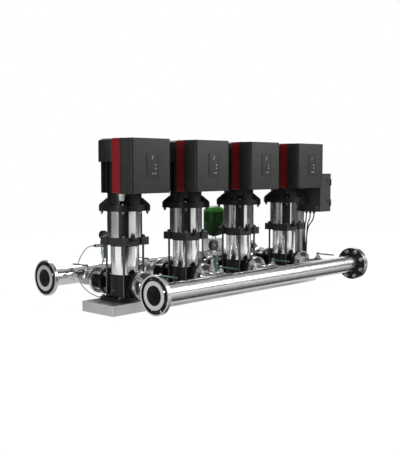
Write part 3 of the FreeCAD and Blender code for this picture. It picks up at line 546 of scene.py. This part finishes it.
def make_weld_beads():
    """Weld beads where the stubs meet the mains and where the collars meet the pipe."""
    beads = bmesh.new()
    for _, sign, main_y, _ in SIDES:
        for x in pump_x:
            join_rings(beads, [
                branch_ring(beads, x, sign, main_y, BRANCH_RADIUS + wider, lift)
                for wider, lift in ((-0.0004, -0.0006), (0.0018, -0.0006), (0.001, 0.0016),
                                    (-0.0004, 0.0026))], True)
        for end in (-1, 1):
            collar_end = (end * (MAIN_END - LIP_THICK), sign * main_y, PORT_HEIGHT)
            add_turned(beads, at(collar_end, (-end, 0, 0)), [
                (MAIN_RADIUS - 0.0006, -0.001), (MAIN_RADIUS + 0.0008, -0.001),
                (MAIN_RADIUS + 0.0006, 0.001), (MAIN_RADIUS - 0.0006, 0.0014)], 64, True)
    finish_mesh("weld_beads", beads, "bright_fitting")


def make_stubs():
    """Round branch stubs from the mains, cut to the main's curve."""
    stubs = bmesh.new()
    for _, sign, main_y, _ in SIDES:
        valve_y = sign * (main_y - VALVE_FROM_MAIN + VALVE_LENGTH / 2)
        for x in pump_x:
            start = branch_ring(stubs, x, sign, main_y, BRANCH_RADIUS, -0.0005)
            end = [stubs.verts.new((v.co.x, valve_y, v.co.z)) for v in start]
            join_rings(stubs, [start, end])
    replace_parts(finish_mesh("branch_pipes", stubs, "polished_pipe"),
                "branch_stubs")


def make_nipples():
    """Flanged nipples: a ring with a raised face and a dished back, and its round pipe."""
    rings = bmesh.new()
    rim = PORT_FLANGE_RADIUS
    for _, sign, main_y, face in SIDES:
        reach = main_y - VALVE_FROM_MAIN - VALVE_LENGTH / 2 - face
        for x in pump_x:
            add_turned(rings, at((x, sign * face, PORT_HEIGHT), (0, sign, 0)), [
                (rim - 0.0015, 0), (rim, 0.0015), (rim, 0.020),
                (rim - 0.002, PORT_FLANGE_THICK), (rim - 0.006, PORT_FLANGE_THICK),
                (rim - 0.0075, PORT_RING_BACK), (0.0425, PORT_RING_BACK), (0.041, 0.0225),
                (0.035, 0.0225), (0.0325, 0.025), (BRANCH_RADIUS, 0.029),
                (BRANCH_RADIUS, reach)], 64)
    obj = finish_mesh("nipple_rings", rings, "turned_steel")
    # Painted shade: the nipples' dished backs get the dark steel.
    repaint(obj.data, "dark_steel_and_dish_shade", in_nipple_dish)
    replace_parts(obj, "branch_flanges")


def make_port_bolts():
    """Bolts of the ports, and the long studs over the check valves."""
    bolts, studs = bmesh.new(), bmesh.new()
    behind = PORT_FACE - PORT_FLANGE_THICK
    for x in pump_x:
        for _, sign, _, face in SIDES:
            for place in port_places(x, sign * (face + PORT_RING_BACK)):
                add_hex_head(bolts, place, (0, sign, 0), M16_FLATS, 0.012)
                add_turned(bolts, at(place, (0, sign, 0)),
                           [(0.0075, 0.010), (0.0075, 0.0185), (0.0062, 0.020)], 16)
            for place in port_places(x, sign * behind):
                add_hex_head(bolts, place, (0, -sign, 0), M16_FLATS, 0.011)
        for place in port_places(x, PORT_FACE):
            add_turned(studs, at(place, (0, 1, 0)), [(0.008, 0), (0.008, CHECK_LENGTH)], 16)
    finish_mesh("port_bolts", bolts, "zinc")
    finish_mesh("check_valve_studs", studs, "zinc")


def make_check_valves():
    """Round wafer bodies with a rim at each end and a middle rib."""
    bodies = bmesh.new()
    for x in pump_x:
        middle = (x, PORT_FACE + CHECK_LENGTH / 2, PORT_HEIGHT)
        add_turned(bodies, at(middle, (0, 1, 0)), mirrored([
            (0.052, 0.003), (0.049, 0.005), (0.049, 0.019), (0.0525, 0.022),
            (0.0525, 0.032), (0.0515, 0.033)]), 48)
    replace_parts(finish_mesh("wafer_bodies", bodies, "black_iron"),
                "check_valves")


def make_branch_valves():
    """Ball valves with hexagonal ends and a round barrel, and their levers."""
    bodies = bmesh.new()
    half = VALVE_LENGTH / 2
    for side, sign, main_y, _ in SIDES:
        y = sign * (main_y - VALVE_FROM_MAIN)
        for i, x in enumerate(pump_x, 1):
            along = at((x, y, PORT_HEIGHT), (0, 1, 0))
            for start, end in ((-half, -0.020), (0.020, half)):
                add_hexagonal(bodies, along, 0.071, start, end, 0.003)
            add_turned(bodies, along, mirrored([
                (0.045, 0.008), (0.0445, 0.019), (0.042, 0.0245), (0.036, 0.030)]), 40)
            gland = at((x, y, PORT_HEIGHT))
            add_turned(bodies, gland, [(0.016, 0.030), (0.0145, 0.046), (0.0135, 0.048)], 24)
            add_hexagonal(bodies, gland, 0.028, 0.046, 0.0585)
            make_lever("%s_lever_%d" % (side, i), x, y, sign)
    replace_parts(finish_mesh("valve_bodies", bodies, "bright_fitting"),
                "ball_valves")


def make_lever(node, x, y, way):
    """A stem with its nut, and a coated grip that points along the open pipe."""
    grip, stem = bmesh.new(), bmesh.new()
    low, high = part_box(node)
    top = high.z
    span = sorted((y - way * 0.009, y + way * 0.131))
    add_box(grip, (x - 0.0098, span[0], top - 0.0078), (x + 0.0098, span[1], top - 0.0002),
            0.0034, 3)
    add_turned(stem, at((x, y, low.z)), [(0.0078, 0), (0.0078, top - low.z - 0.0075)], 24)
    add_hexagonal(stem, at((x, y, top - 0.0004)), 0.015, 0, 0.0062)
    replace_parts(finish_mesh(node + "_grip", grip, "green_grip", node), node)
    finish_mesh(node + "_stem", stem, "zinc", node)


def make_closed_end_bolts():
    """Eight bolts through each blind flange and the ring behind it, with their nuts."""
    bolts = bmesh.new()
    outer = MAIN_END + BLIND_THICK
    inner = MAIN_END - LIP_THICK - MAIN_FLANGE_THICK
    for _, sign, main_y, _ in SIDES:
        for across, up in circle(MAIN_BOLT_CIRCLE / 2, 8, 22.5):
            y, z = sign * main_y + across, PORT_HEIGHT + up
            add_hex_head(bolts, (outer, y, z), (1, 0, 0), M16_FLATS, 0.010)
            add_hex_head(bolts, (inner, y, z), (-1, 0, 0), M16_FLATS, 0.013)
            add_turned(bolts, at((inner, y, z), (1, 0, 0)),
                       [(0.0078, -0.020), (0.008, -0.018), (0.008, 0.048)], 16)
    finish_mesh("closed_end_bolts", bolts, "bright_fitting")


# Pumps

def make_staybolts():
    """Round staybolts from foot to head, each with its washer, nut and thread end."""
    bolts = bmesh.new()
    for x in pump_x:
        for sx, sy in CORNERS:
            px, py = x + sx * STAY_OFFSET, sy * STAY_OFFSET
            add_turned(bolts, at((px, py, 0)), [
                (0.007, FOOT_TOP), (0.007, FOOT_TOP + 0.030), (0.0066, FOOT_TOP + 0.032),
                (0.0066, SLEEVE_TOP)], 20)
            add_hex_head(bolts, (px, py, HEAD_TOP), (0, 0, 1), 0.0215, 0.0098)
            add_turned(bolts, at((px, py, HEAD_TOP)),
                       [(0.0058, 0.010), (0.0058, 0.0135), (0.0048, 0.0145)], 16)
    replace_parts(finish_mesh("staybolt_rods", bolts, "dark_steel_and_dish_shade"),
                "staybolts")


def make_casing_details():
    """Beads at the top of each casing and of each sleeve, drain plugs and foot bolts."""
    beads, plugs, bolts = bmesh.new(), bmesh.new(), bmesh.new()
    for x in pump_x:
        add_turned(beads, at((x, 0, 0)), [
            (SLEEVE_RADIUS, CASING_TOP + 0.0002), (CASING_RADIUS - 0.001, CASING_TOP + 0.0002),
            (CASING_RADIUS + 0.0012, CASING_TOP - 0.0016), (CASING_RADIUS + 0.0012, 0.206),
            (CASING_RADIUS, 0.204), (SLEEVE_RADIUS, 0.204)], 64, True)
        add_turned(beads, at((x, 0, 0)), [
            (SLEEVE_RADIUS, SLEEVE_TOP - 0.006), (SLEEVE_RADIUS + 0.0016, SLEEVE_TOP - 0.006),
            (SLEEVE_RADIUS + 0.0016, SLEEVE_TOP), (SLEEVE_RADIUS, SLEEVE_TOP)], 64, True)
        for sx in (-1, 1):
            plug = at((x + sx * CASING_RADIUS, 0, 0.118), (sx, 0, 0))
            add_turned(plugs, plug, [(0.014, -0.004), (0.014, 0.005), (0.0125, 0.006)], 24)
            add_hexagonal(plugs, plug, 0.017, 0.005, 0.013)
        for sx, sy in CORNERS:
            add_hex_head(bolts, (x + sx * FOOT_BOLT_X, sy * FOOT_BOLT_Y, FOOT_TOP), (0, 0, 1),
                         0.017, 0.009)
    finish_mesh("casing_beads", beads, "black_iron")
    finish_mesh("drain_plugs", plugs, "dark_steel_and_dish_shade")
    finish_mesh("foot_bolts", bolts, "dark_steel_and_dish_shade")


def make_head_details():
    """Vent plug on its boss at the foot of each front guard, and the guards' screws."""
    plugs, screws = bmesh.new(), bmesh.new()
    for x in pump_x:
        add_box(plugs, (x - 0.046, -0.123, HEAD_TOP - 0.020),
                (x - 0.014, -0.089, HEAD_TOP - 0.001), 0.003)
        add_turned(plugs, at((x - 0.030, -0.1118, HEAD_TOP - 0.0015)), [
            (0.0094, 0), (0.0094, 0.008), (0.0082, 0.010), (0.0062, 0.018), (0.0034, 0.027),
            (0.002, 0.029)], 20)
        for z in (HEAD_TOP + 0.012, STOOL_TOP - 0.030):
            for across in (-0.040, 0.040):
                deep = math.sqrt(GUARD_RADIUS ** 2 - across ** 2)
                for way in (-1, 1):
                    for dx, dy in ((across, way * deep), (way * deep, across)):
                        add_turned(screws, at((x + dx, dy, z), (dx, dy, 0)),
                                   [(0.0035, -0.001), (0.0035, 0.0016), (0.0024, 0.0022)], 14)
    finish_mesh("vent_plugs", plugs, "black_iron")
    finish_mesh("guard_screws", screws, "zinc")


def make_motor_details():
    """Gussets from the motor's neck to its lugs, and the lugs' bolts with their nuts."""
    ribs, bolts = bmesh.new(), bmesh.new()
    gusset = [(0.094, MOTOR_FLANGE_TOP - 0.001), (0.1445, MOTOR_FLANGE_TOP - 0.001),
              (0.1445, MOTOR_FLANGE_TOP + 0.004), (0.104, GUSSET_TOP), (0.094, GUSSET_TOP)]
    for x in pump_x:
        for sx, sy in CORNERS:
            way = Vector((sx, sy, 0)).normalized()
            side = Vector((-way.y, way.x, 0))
            for shift in (-0.018, 0.011):
                add_slab(ribs, [Vector((x, 0, z)) + way * out + side * shift
                                for out, z in gusset], side * 0.007)
            hole = way * LUG_BOLT_OUT
            below = (x + hole.x, hole.y, STOOL_TOP - 0.018)
            add_hex_head(bolts, (x + hole.x, hole.y, MOTOR_FLANGE_TOP), (0, 0, 1), 0.0165,
                         0.009)
            add_hex_head(bolts, below, (0, 0, -1), 0.0165, 0.010)
            add_turned(bolts, at(below, (0, 0, -1)),
                       [(0.005, 0.010), (0.005, 0.019), (0.004, 0.020)], 14)
    finish_mesh("motor_gussets", ribs, "black_iron")
    finish_mesh("motor_bolts", bolts, "dark_steel_and_dish_shade")


def make_fan_cover_details():
    """The grille on each fan cover: rings, spokes and a hub, clear of the drive box."""
    grille = bmesh.new()
    for x in pump_x:
        foot = Vector((x, FAN_Y, DRIVE_TOP - 0.0018))
        for radius in (0.026, 0.042, 0.058):
            add_turned(grille, at(foot), [
                (radius - 0.0022, 0), (radius - 0.0022, 0.0024), (radius + 0.0022, 0.0024),
                (radius + 0.0022, 0)], 40, True)
        for across, up in circle(1.0, 8, 22.5):
            add_strip(grille, foot, Vector((across, up, 0)),
                      ((0.012, 0.0018), (0.070, 0.0018)), (0, 0, 0.0022))
        add_turned(grille, at(foot), [(0.014, 0), (0.014, 0.0026), (0.012, 0.0032)], 32)
    finish_mesh("fan_grilles", grille, "black_plastic")


def make_drive_details():
    """Seam strips, panel frame, lit mark and screws on every drive."""
    strips, frames, lit, screws = [bmesh.new() for _ in range(4)]
    width = 0.0018
    bottom, top = 0.780, 0.918
    y = DRIVE_FRONT - 0.0022
    for x in pump_x:
        for side in (x - DRIVE_HALF_WIDTH - 0.0012, x + DRIVE_HALF_WIDTH - 0.0003):
            add_box(strips, (side, BAND_FRONT - 0.004, MOTOR_BOTTOM),
                    (side + 0.0015, BAND_FRONT - 0.001, DRIVE_TOP), 0.0004)
        left, right = x - 0.036, x + 0.052
        for x0, x1, z0, z1 in ((left, left + width, bottom, top),
                               (right - width, right, bottom, top),
                               (left, right, bottom, bottom + width),
                               (left, right, top - width, top)):
            add_box(frames, (x0, y - 0.0004, z0), (x1, y + 0.0006, z1))
        slash = [(-0.0075, -0.013), (-0.002, -0.010), (0.0075, 0.013), (0.002, 0.010)]
        add_slab(lit, [Vector((x + 0.006 + dx, y - 0.0006, 0.893 + dz)) for dx, dz in slash],
                 (0, 0.0012, 0))
        for sx in (-1, 1):
            for z in (MOTOR_BOTTOM + 0.018, DRIVE_TOP - 0.018):
                add_turned(screws, at((x + sx * 0.128, DRIVE_FRONT, z), (0, -1, 0)),
                           [(0.0038, 0), (0.0038, 0.001), (0.0026, 0.0016)], 16)
    finish_mesh("drive_seam_strips", strips, "black_plastic")
    finish_mesh("panel_frames", frames, "graphite")
    finish_mesh("panel_lit_marks", lit, "lit_mark")
    finish_mesh("cover_screws", screws, "graphite")


def make_glands():
    """Glands with a hexagonal body and a domed nut, under the drives and the cabinet."""
    pale, dark = bmesh.new(), bmesh.new()
    for x in pump_x:
        top = at((x - DRIVE_HALF_WIDTH + 0.040, -0.101, MOTOR_BOTTOM - 0.0015), (0, 0, -1))
        gland = pale if x == pump_x[0] else dark
        add_hexagonal(gland, top, 0.0355, 0, 0.0135)
        add_turned(gland, top, [(0.0165, 0.013), (0.0165, 0.026), (0.015, 0.036),
                                (0.011, 0.0415)], 32)
    for route in POWER_ROUTES:
        top = at((route[0][0], route[0][1], CABINET_BOTTOM), (0, 0, -1))
        add_hexagonal(dark, top, 0.020, 0, 0.007)
        add_turned(dark, top, [(0.0098, 0.0065), (0.0098, 0.011), (0.008, 0.0148),
                               (0.0052, 0.016)], 24)
    glands = finish_mesh("near_drive_gland", pale, "pale_plastic")
    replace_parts(glands, "cable_glands")
    finish_mesh("dark_glands", dark, "black_plastic")


# Gauge stands and tank

def make_gauge_stands():
    """Nipple, small ball valve and tee of each stand, with its sender and handle."""
    stands, senders, plugs = bmesh.new(), bmesh.new(), bmesh.new()
    for side, sign, main_y, _ in SIDES:
        y = sign * main_y
        up = at((STAND_ALONG, y, 0))
        add_turned(stands, up, [(0.0068, PORT_HEIGHT + 0.054), (0.0068, 0.314)], 24)
        add_turned(stands, up, [(0.011, 0.2105), (0.011, 0.215), (0.0068, 0.219)], 24)
        add_hexagonal(stands, up, 0.0225, 0.240, 0.262)
        add_hexagonal(stands, up, 0.0315, 0.262, 0.276)
        add_turned(stands, up, [(0.0155, 0.275), (0.0158, 0.280), (0.0158, 0.298),
                                (0.0155, 0.303)], 32)
        add_hexagonal(stands, up, 0.0315, 0.302, 0.313)
        add_box(stands, (STAND_ALONG - 0.0148, y - 0.0148, 0.3142),
                (STAND_ALONG + 0.0148, y + 0.0148, 0.3565), 0.003)
        add_turned(stands, up, [(0.0125, 0.356), (0.0125, 0.3615)], 6)
        out = at((STAND_ALONG - 0.015, y, SENDER_HEIGHT), (-1, 0, 0))
        add_hexagonal(senders, out, 0.0205, 0, 0.012)
        add_turned(senders, out, [(0.0105, 0.011), (0.0116, 0.013), (0.0116, 0.046),
                                  (0.010, 0.051), (0.0085, 0.052)], 32)
        add_turned(plugs, out, [(0.0078, 0.052), (0.0078, 0.060), (0.0068, 0.062),
                                (0.0052, 0.068), (0.0042, 0.070)], 24)
        make_wing_handle(side + "_stand_handle")
    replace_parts(finish_mesh("stand_fittings", stands, "bright_fitting"),
                "gauge_stands")
    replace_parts(finish_mesh("sender_bodies", senders, "bright_fitting"),
                "pressure_senders")
    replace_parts(finish_mesh("sender_sockets", plugs, "black_plastic"),
                "sender_plugs")


def make_wing_handle(node):
    """A wing handle with rounded ends and a boss, on its round stem."""
    wing, stem = bmesh.new(), bmesh.new()
    low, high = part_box(node)
    middle = (low.z + high.z) / 2
    add_box(wing, (low.x + 0.0004, low.y + 0.0003, low.z + 0.0005),
            (high.x - 0.0004, low.y + 0.0058, high.z - 0.0005), 0.0026, 3)
    add_turned(stem, at((STAND_ALONG, high.y, middle), (0, -1, 0)), [
        (0.0058, 0), (0.0058, high.y - low.y - 0.006)], 20)
    add_turned(stem, at((STAND_ALONG, low.y + 0.0004, middle), (0, -1, 0)), [
        (0.004, -0.001), (0.004, 0.0004)], 6)
    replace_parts(finish_mesh(node + "_wing", wing, "green_grip", node), node)
    finish_mesh(node + "_stem", stem, "zinc", node)


def make_gauges():
    """Round cases with a bezel, dial, scale marks and a pointer."""
    cases, dials, marks = bmesh.new(), bmesh.new(), bmesh.new()
    low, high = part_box("pressure_gauges")
    radius = (high.z - low.z) / 2
    z = (low.z + high.z) / 2
    for _, sign, main_y, _ in SIDES:
        y = sign * main_y
        front = at((STAND_ALONG, y - 0.013, z), (0, -1, 0))
        dial = Vector((STAND_ALONG, y - 0.0105, z))
        add_turned(cases, front, [
            (radius - 0.003, -0.026), (radius - 0.0008, -0.024), (radius - 0.0008, -0.008),
            (radius - 0.0002, -0.007), (radius - 0.0002, -0.0012), (radius - 0.0014, 0),
            (radius - 0.0038, -0.0002), (radius - 0.0044, -0.003)], 48)
        add_turned(dials, front, [(radius - 0.0046, -0.0032), (radius - 0.0046, -0.0026)], 48)
        for k in range(21):
            a = math.radians(225 - 13.5 * k)
            inner = 0.019 if k % 5 == 0 else 0.021
            add_strip(marks, dial, Vector((math.cos(a), 0, math.sin(a))),
                      ((inner, 0.0003), (0.0235, 0.0003)), (0, -0.0003, 0))
        add_strip(marks, Vector((STAND_ALONG, y - 0.011, z)), Vector((-0.6, 0, 0.8)),
                  ((-0.006, 0.0012), (0.0195, 0.0003)), (0, -0.0004, 0))
        add_turned(marks, at(dial, (0, -1, 0)), [(0.003, 0), (0.003, 0.0012)], 20)
    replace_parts(finish_mesh("gauge_cases", cases, "black_plastic"),
                "pressure_gauges")
    finish_mesh("gauge_dials", dials, "dial_grey")
    finish_mesh("gauge_marks", marks, "pale_plastic")


def make_tank():
    """Domed tank with a weld seam, its neck nut and the screws of its box."""
    shell, fittings = bmesh.new(), bmesh.new()
    low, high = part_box("pressure_tank")
    x, y = (low.x + high.x) / 2, (low.y + high.y) / 2
    radius = (high.x - low.x) / 2 - 0.0003
    bottom, dome = 0.315, 0.042
    bends = [math.radians(d) for d in (0, 8, 16, 28, 40, 52, 64, 76, 88)]
    outline = [(radius * math.cos(a), bottom + dome - dome * math.sin(a))
               for a in reversed(bends)]
    outline += [(radius, 0.427), (radius + 0.0003, 0.4278), (radius + 0.0003, 0.433),
                (radius, 0.4338)]
    outline += [(radius * math.cos(a), high.z - dome + dome * math.sin(a)) for a in bends]
    add_turned(shell, at((x, y, 0)), outline, 72)
    add_hexagonal(fittings, at((x, y, 0)), 0.030, TANK_STAND_TOP + 0.0002,
                  TANK_STAND_TOP + 0.0165)
    for sx, sy in CORNERS:
        add_turned(fittings, at((x + sx * 0.052, y + sy * 0.040, TANK_STAND_TOP)),
                   [(0.0045, 0), (0.0045, 0.0015), (0.003, 0.0025)], 16)
    for sx in (-1, 1):
        add_turned(fittings, at((x + sx * 0.034, y - 0.0475, 0.256), (0, -1, 0)),
                   [(0.0045, 0), (0.0045, 0.0014), (0.003, 0.0022)], 16)
    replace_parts(finish_mesh("tank_shell", shell, "green_tank"),
                "pressure_tank")
    finish_mesh("tank_fittings", fittings, "zinc")


# Cabinet

def make_cabinet_outside():
    """Corner screws, the door's seal, two locks and the bolts of the post's foot."""
    screws, seal, locks = bmesh.new(), bmesh.new(), bmesh.new()
    low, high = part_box("cabinet_body")
    for y in (low.y + 0.03, high.y - 0.03):
        for z in (low.z + 0.03, high.z - 0.03):
            add_turned(screws, at((low.x, y, z), (-1, 0, 0)),
                       [(0.006, 0), (0.006, 0.002), (0.004, 0.003)], 16)
    for y in (0.045, 0.075):
        add_hex_head(screws, (0.955, y, 0.065), (0, 0, 1), 0.013, 0.007)
    for y0, y1, z0, z1 in ((-0.186, -0.180, 0.514, 0.784), (0.180, 0.186, 0.514, 0.784),
                           (-0.180, 0.180, 0.514, 0.518), (-0.180, 0.180, 0.780, 0.784)):
        add_box(seal, (CABINET_FACE - 0.0035, y0, z0), (CABINET_FACE - 0.0005, y1, z1), 0.0008)
    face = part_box("cabinet_door")[1].x
    for z in (0.570, 0.728):
        lock = at((face, 0.172, z), (1, 0, 0))
        add_turned(locks, lock, [(0.011, -0.0005), (0.011, 0.0018), (0.0095, 0.003)], 32)
        add_turned(locks, lock, [(0.0045, 0.0028), (0.004, 0.0042)], 3)
    finish_mesh("cabinet_screws", screws, "zinc")
    finish_mesh("cabinet_seal", seal, "black_plastic")
    finish_mesh("door_locks", locks, "zinc", "cabinet_door")


def make_cabinet_inside():
    """What the mounting plate carries: a controller, a row of breakers, and terminals."""
    plate, dark, pale, bright = [bmesh.new() for _ in range(4)]
    add_box(plate, (0.953, -0.165, 0.535), (PLATE_FACE, 0.165, 0.763), 0.0006)
    add_box(dark, (PLATE_FACE, -0.130, 0.640), (1.0155, 0.020, 0.740), 0.003)
    add_box(bright, (1.015, -0.105, 0.685), (1.0159, -0.025, 0.728), 0.0003)
    for k in range(5):
        y = -0.115 + 0.024 * k
        add_box(pale, (1.015, y, 0.652), (1.0162, y + 0.014, 0.664), 0.0005)
    for k in range(6):
        y = 0.0402 + 0.018 * k
        add_box(pale, (PLATE_FACE, y, 0.650), (1.005, y + 0.0172, 0.730), 0.0012)
        add_box(pale, (1.004, y, 0.668), (1.019, y + 0.0172, 0.712), 0.0012)
        add_box(dark, (1.0185, y + 0.005, 0.686), (1.0205, y + 0.0122, 0.700), 0.0008)
    for k in range(26):
        y = -0.1298 + 0.010 * k
        add_box(pale, (PLATE_FACE, y, 0.560), (0.996, y + 0.0092, 0.605), 0.001)
        for z in (0.568, 0.597):
            add_turned(bright, at((0.9958, y + 0.0046, z), (1, 0, 0)),
                       [(0.0028, 0), (0.0028, 0.0006)], 10)
    for z in (0.545, 0.614, 0.746):
        add_box(plate, (PLATE_FACE, -0.155, z), (PLATE_FACE + 0.0012, 0.155, z + 0.010),
                0.0004)
    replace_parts(finish_mesh("mounting_plate", plate, "galvanised"),
                "cabinet_fittings")
    finish_mesh("controller_and_toggles", dark, "black_plastic")
    finish_mesh("breakers_and_terminals", pale, "pale_plastic")
    finish_mesh("terminal_screws", bright, "zinc")


def make_switch():
    """Main switch knob: a round rosette with a grip bar across it."""
    knob = bmesh.new()
    low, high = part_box("main_switch")
    y, z = (low.y + high.y) / 2, (low.z + high.z) / 2
    face = CABINET_FACE + 0.0143
    add_turned(knob, at((face, y, z), (1, 0, 0)),
               [(0.0228, 0), (0.0228, 0.010), (0.0215, 0.014), (0.019, 0.0158)], 48)
    add_box(knob, (face + 0.012, y - 0.0058, low.z + 0.0005),
            (high.x - 0.0003, y + 0.0058, high.z - 0.0005), 0.0022)
    add_turned(knob, at((low.x, y, z), (1, 0, 0)), [(0.0039, 0), (0.0039, face - low.x)], 20)
    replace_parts(finish_mesh("switch_knob", knob, "black_plastic",
                            "main_switch"), "main_switch")


make_leads()
make_weld_beads()
make_stubs()
make_nipples()
make_port_bolts()
make_check_valves()
make_branch_valves()
make_closed_end_bolts()
make_staybolts()
make_casing_details()
make_head_details()
make_motor_details()
make_fan_cover_details()
make_drive_details()
make_glands()
make_gauge_stands()
make_gauges()
make_tank()
make_cabinet_outside()
make_cabinet_inside()
make_switch()


# Floor, backdrop and light

# The share of white in what the camera and the reflections see of the floor
FLOOR_SEEN = 0.92
FLOOR_MIRRORED = 0.30
FLOOR_STRENGTH = 1.06
SKY_DIFFUSE = 0.26
CARD_DISTANCE = 3.0
# Upright cards: start and end angle in degrees, bottom, top and tone
CARDS = [
    (-28, 24, 0.004, 1.7, 0.012), (24, 54, 0.004, 0.19, 0.20), (24, 69, 0.20, 0.45, 1.0),
    (24, 54, 0.46, 1.4, 0.15), (69, 88, 0.20, 1.20, 0.02), (54, 88, 0.004, 0.19, 0.9),
    (88, 112, 0.004, 0.19, 0.06), (-68, -28, 0.004, 0.19, 1.0),
    (-112, -68, 0.004, 0.19, 0.24), (-79, -40, 0.20, 2.20, 0.36),
    (-150, -79, 0.20, 2.20, 0.03), (88, 142, 0.20, 2.20, 0.10),
]
# Painted shadow on the floor along the front main, which only reflections show: near and far
# edge along Y, and tone
FLOOR_SHADOW_CARDS = [(-0.485, -0.565, 0.03), (-0.565, -0.66, 0.20), (-0.66, -1.1, 0.45)]


def node_maths(tree, operation, first, second):
    """A Math node between two sockets or numbers."""
    node = tree.nodes.new("ShaderNodeMath")
    node.operation = operation
    for socket, value in zip(node.inputs, (first, second)):
        if isinstance(value, (int, float)):
            socket.default_value = value
        else:
            tree.links.new(value, socket)
    return node.outputs[0]


def bare_material(name):
    """A material with nothing but an output, its node tree and its surface socket."""
    material = bpy.data.materials.new(name)
    material.use_nodes = True
    tree = material.node_tree
    tree.nodes.clear()
    return material, tree, tree.nodes.new("ShaderNodeOutputMaterial").inputs["Surface"]


def make_sheet(name, corners, material):
    """One flat face for the stage."""
    mesh = bpy.data.meshes.new(name)
    mesh.from_pydata(corners, [], [(0, 1, 2, 3)])
    mesh.materials.append(material)
    return place_new(name, mesh)


def floor_material():
    """White to the camera apart from a faint shadow, and a third as white in reflections."""
    material, tree, surface = bare_material("floor")
    paths = tree.nodes.new("ShaderNodeLightPath").outputs
    reflected = node_maths(tree, "MAXIMUM", paths["Is Glossy Ray"], paths["Is Transmission Ray"])
    share = node_maths(tree, "MAXIMUM",
                       node_maths(tree, "MULTIPLY", paths["Is Camera Ray"], FLOOR_SEEN),
                       node_maths(tree, "MULTIPLY", reflected, FLOOR_MIRRORED))
    diffuse = tree.nodes.new("ShaderNodeBsdfDiffuse")
    diffuse.inputs["Color"].default_value = (0.8, 0.8, 0.8, 1)
    white = tree.nodes.new("ShaderNodeEmission")
    white.inputs["Strength"].default_value = FLOOR_STRENGTH
    mix = tree.nodes.new("ShaderNodeMixShader")
    tree.links.new(share, mix.inputs["Fac"])
    tree.links.new(diffuse.outputs[0], mix.inputs[1])
    tree.links.new(white.outputs[0], mix.inputs[2])
    tree.links.new(mix.outputs[0], surface)
    return material


def make_floor(reach=14):
    """A wide square floor at the height of the object's feet."""
    floor = make_sheet("floor", [(-reach, -reach, 0), (reach, -reach, 0), (reach, reach, 0),
                                 (-reach, reach, 0)], floor_material())


def make_world():
    """White to the camera, soft grey light, and in the metal a sky that darkens upwards."""
    world = bpy.data.worlds.new("studio")
    bpy.context.scene.world = world
    world.use_nodes = True
    tree = world.node_tree
    background = tree.nodes["Background"]
    background.inputs["Color"].default_value = (1, 1, 1, 1)
    paths = tree.nodes.new("ShaderNodeLightPath").outputs
    split = tree.nodes.new("ShaderNodeSeparateXYZ")
    tree.links.new(tree.nodes.new("ShaderNodeTexCoord").outputs["Generated"], split.inputs[0])
    sky = tree.nodes.new("ShaderNodeMapRange")
    for name, value in (("From Min", 0.42), ("From Max", 0.60), ("To Min", 1.0),
                        ("To Max", 0.40)):
        sky.inputs[name].default_value = value
    tree.links.new(split.outputs["Z"], sky.inputs["Value"])
    seen = node_maths(tree, "MAXIMUM", paths["Is Camera Ray"], paths["Is Transmission Ray"])
    glossy = node_maths(tree, "MULTIPLY", sky.outputs["Result"], paths["Is Glossy Ray"])
    soft = node_maths(tree, "MULTIPLY", paths["Is Diffuse Ray"], SKY_DIFFUSE)
    level = node_maths(tree, "MAXIMUM", node_maths(tree, "MAXIMUM", glossy, soft), seen)
    tree.links.new(level, background.inputs["Strength"])


def make_card(name, corners, level):
    """A studio card of plain grey that only reflections show."""
    material, tree, surface = bare_material(name)
    glow = tree.nodes.new("ShaderNodeEmission")
    glow.inputs["Color"].default_value = (level, level, level, 1)
    tree.links.new(glow.outputs[0], surface)
    card = make_sheet(name, corners, material)
    card.visible_camera = card.visible_diffuse = False
    card.visible_shadow = card.visible_transmission = False


def make_cards():
    """Upright cards by their angle from the camera's side, and floor cards that put a painted
    shadow into reflections.
    """
    home = math.atan2(CAMERA_PLACE.y, CAMERA_PLACE.x)
    for k, (start, end, bottom, top, level) in enumerate(CARDS):
        ends = [(CARD_DISTANCE * math.cos(home + math.radians(a)),
                 CARD_DISTANCE * math.sin(home + math.radians(a))) for a in (start, end)]
        make_card("card_%d" % k, [(*ends[0], bottom), (*ends[1], bottom), (*ends[1], top),
                                  (*ends[0], top)], level)
    left, right, lift = -1.3, 2.4, 0.002
    # Dark floor cards: painted floor shadow under the front main, for the pipe's reflection.
    for k, (near, far, level) in enumerate(FLOOR_SHADOW_CARDS):
        make_card("floor_shadow_card_%d" % k, [(left, far, lift), (right, far, lift),
                                        (right, near, lift), (left, near, lift)], level)


def make_lamp(name, place, target, power, width, height):
    """A rectangular area lamp that points at a target."""
    data = bpy.data.lights.new(name, "AREA")
    data.shape = "RECTANGLE"
    data.size, data.size_y = width, height
    data.energy = power
    aim(place_new(name, data), place, Vector(target) - Vector(place))


make_floor()
make_world()
make_cards()
make_lamp("key", (-4.2, -1.0, 1.3), (-0.9, 0, 0.85), 62, 1.2, 1.2)
make_lamp("fill", (3.0, -2.9, 2.0), (1.0, 0, 0.65), 132, 1.8, 1.4)
make_lamp("rim", (2.5, 3.0, 3.0), (0, 0, 0.5), 50, 1.5, 1.5)

bpy.context.scene.view_settings.view_transform = "Standard"
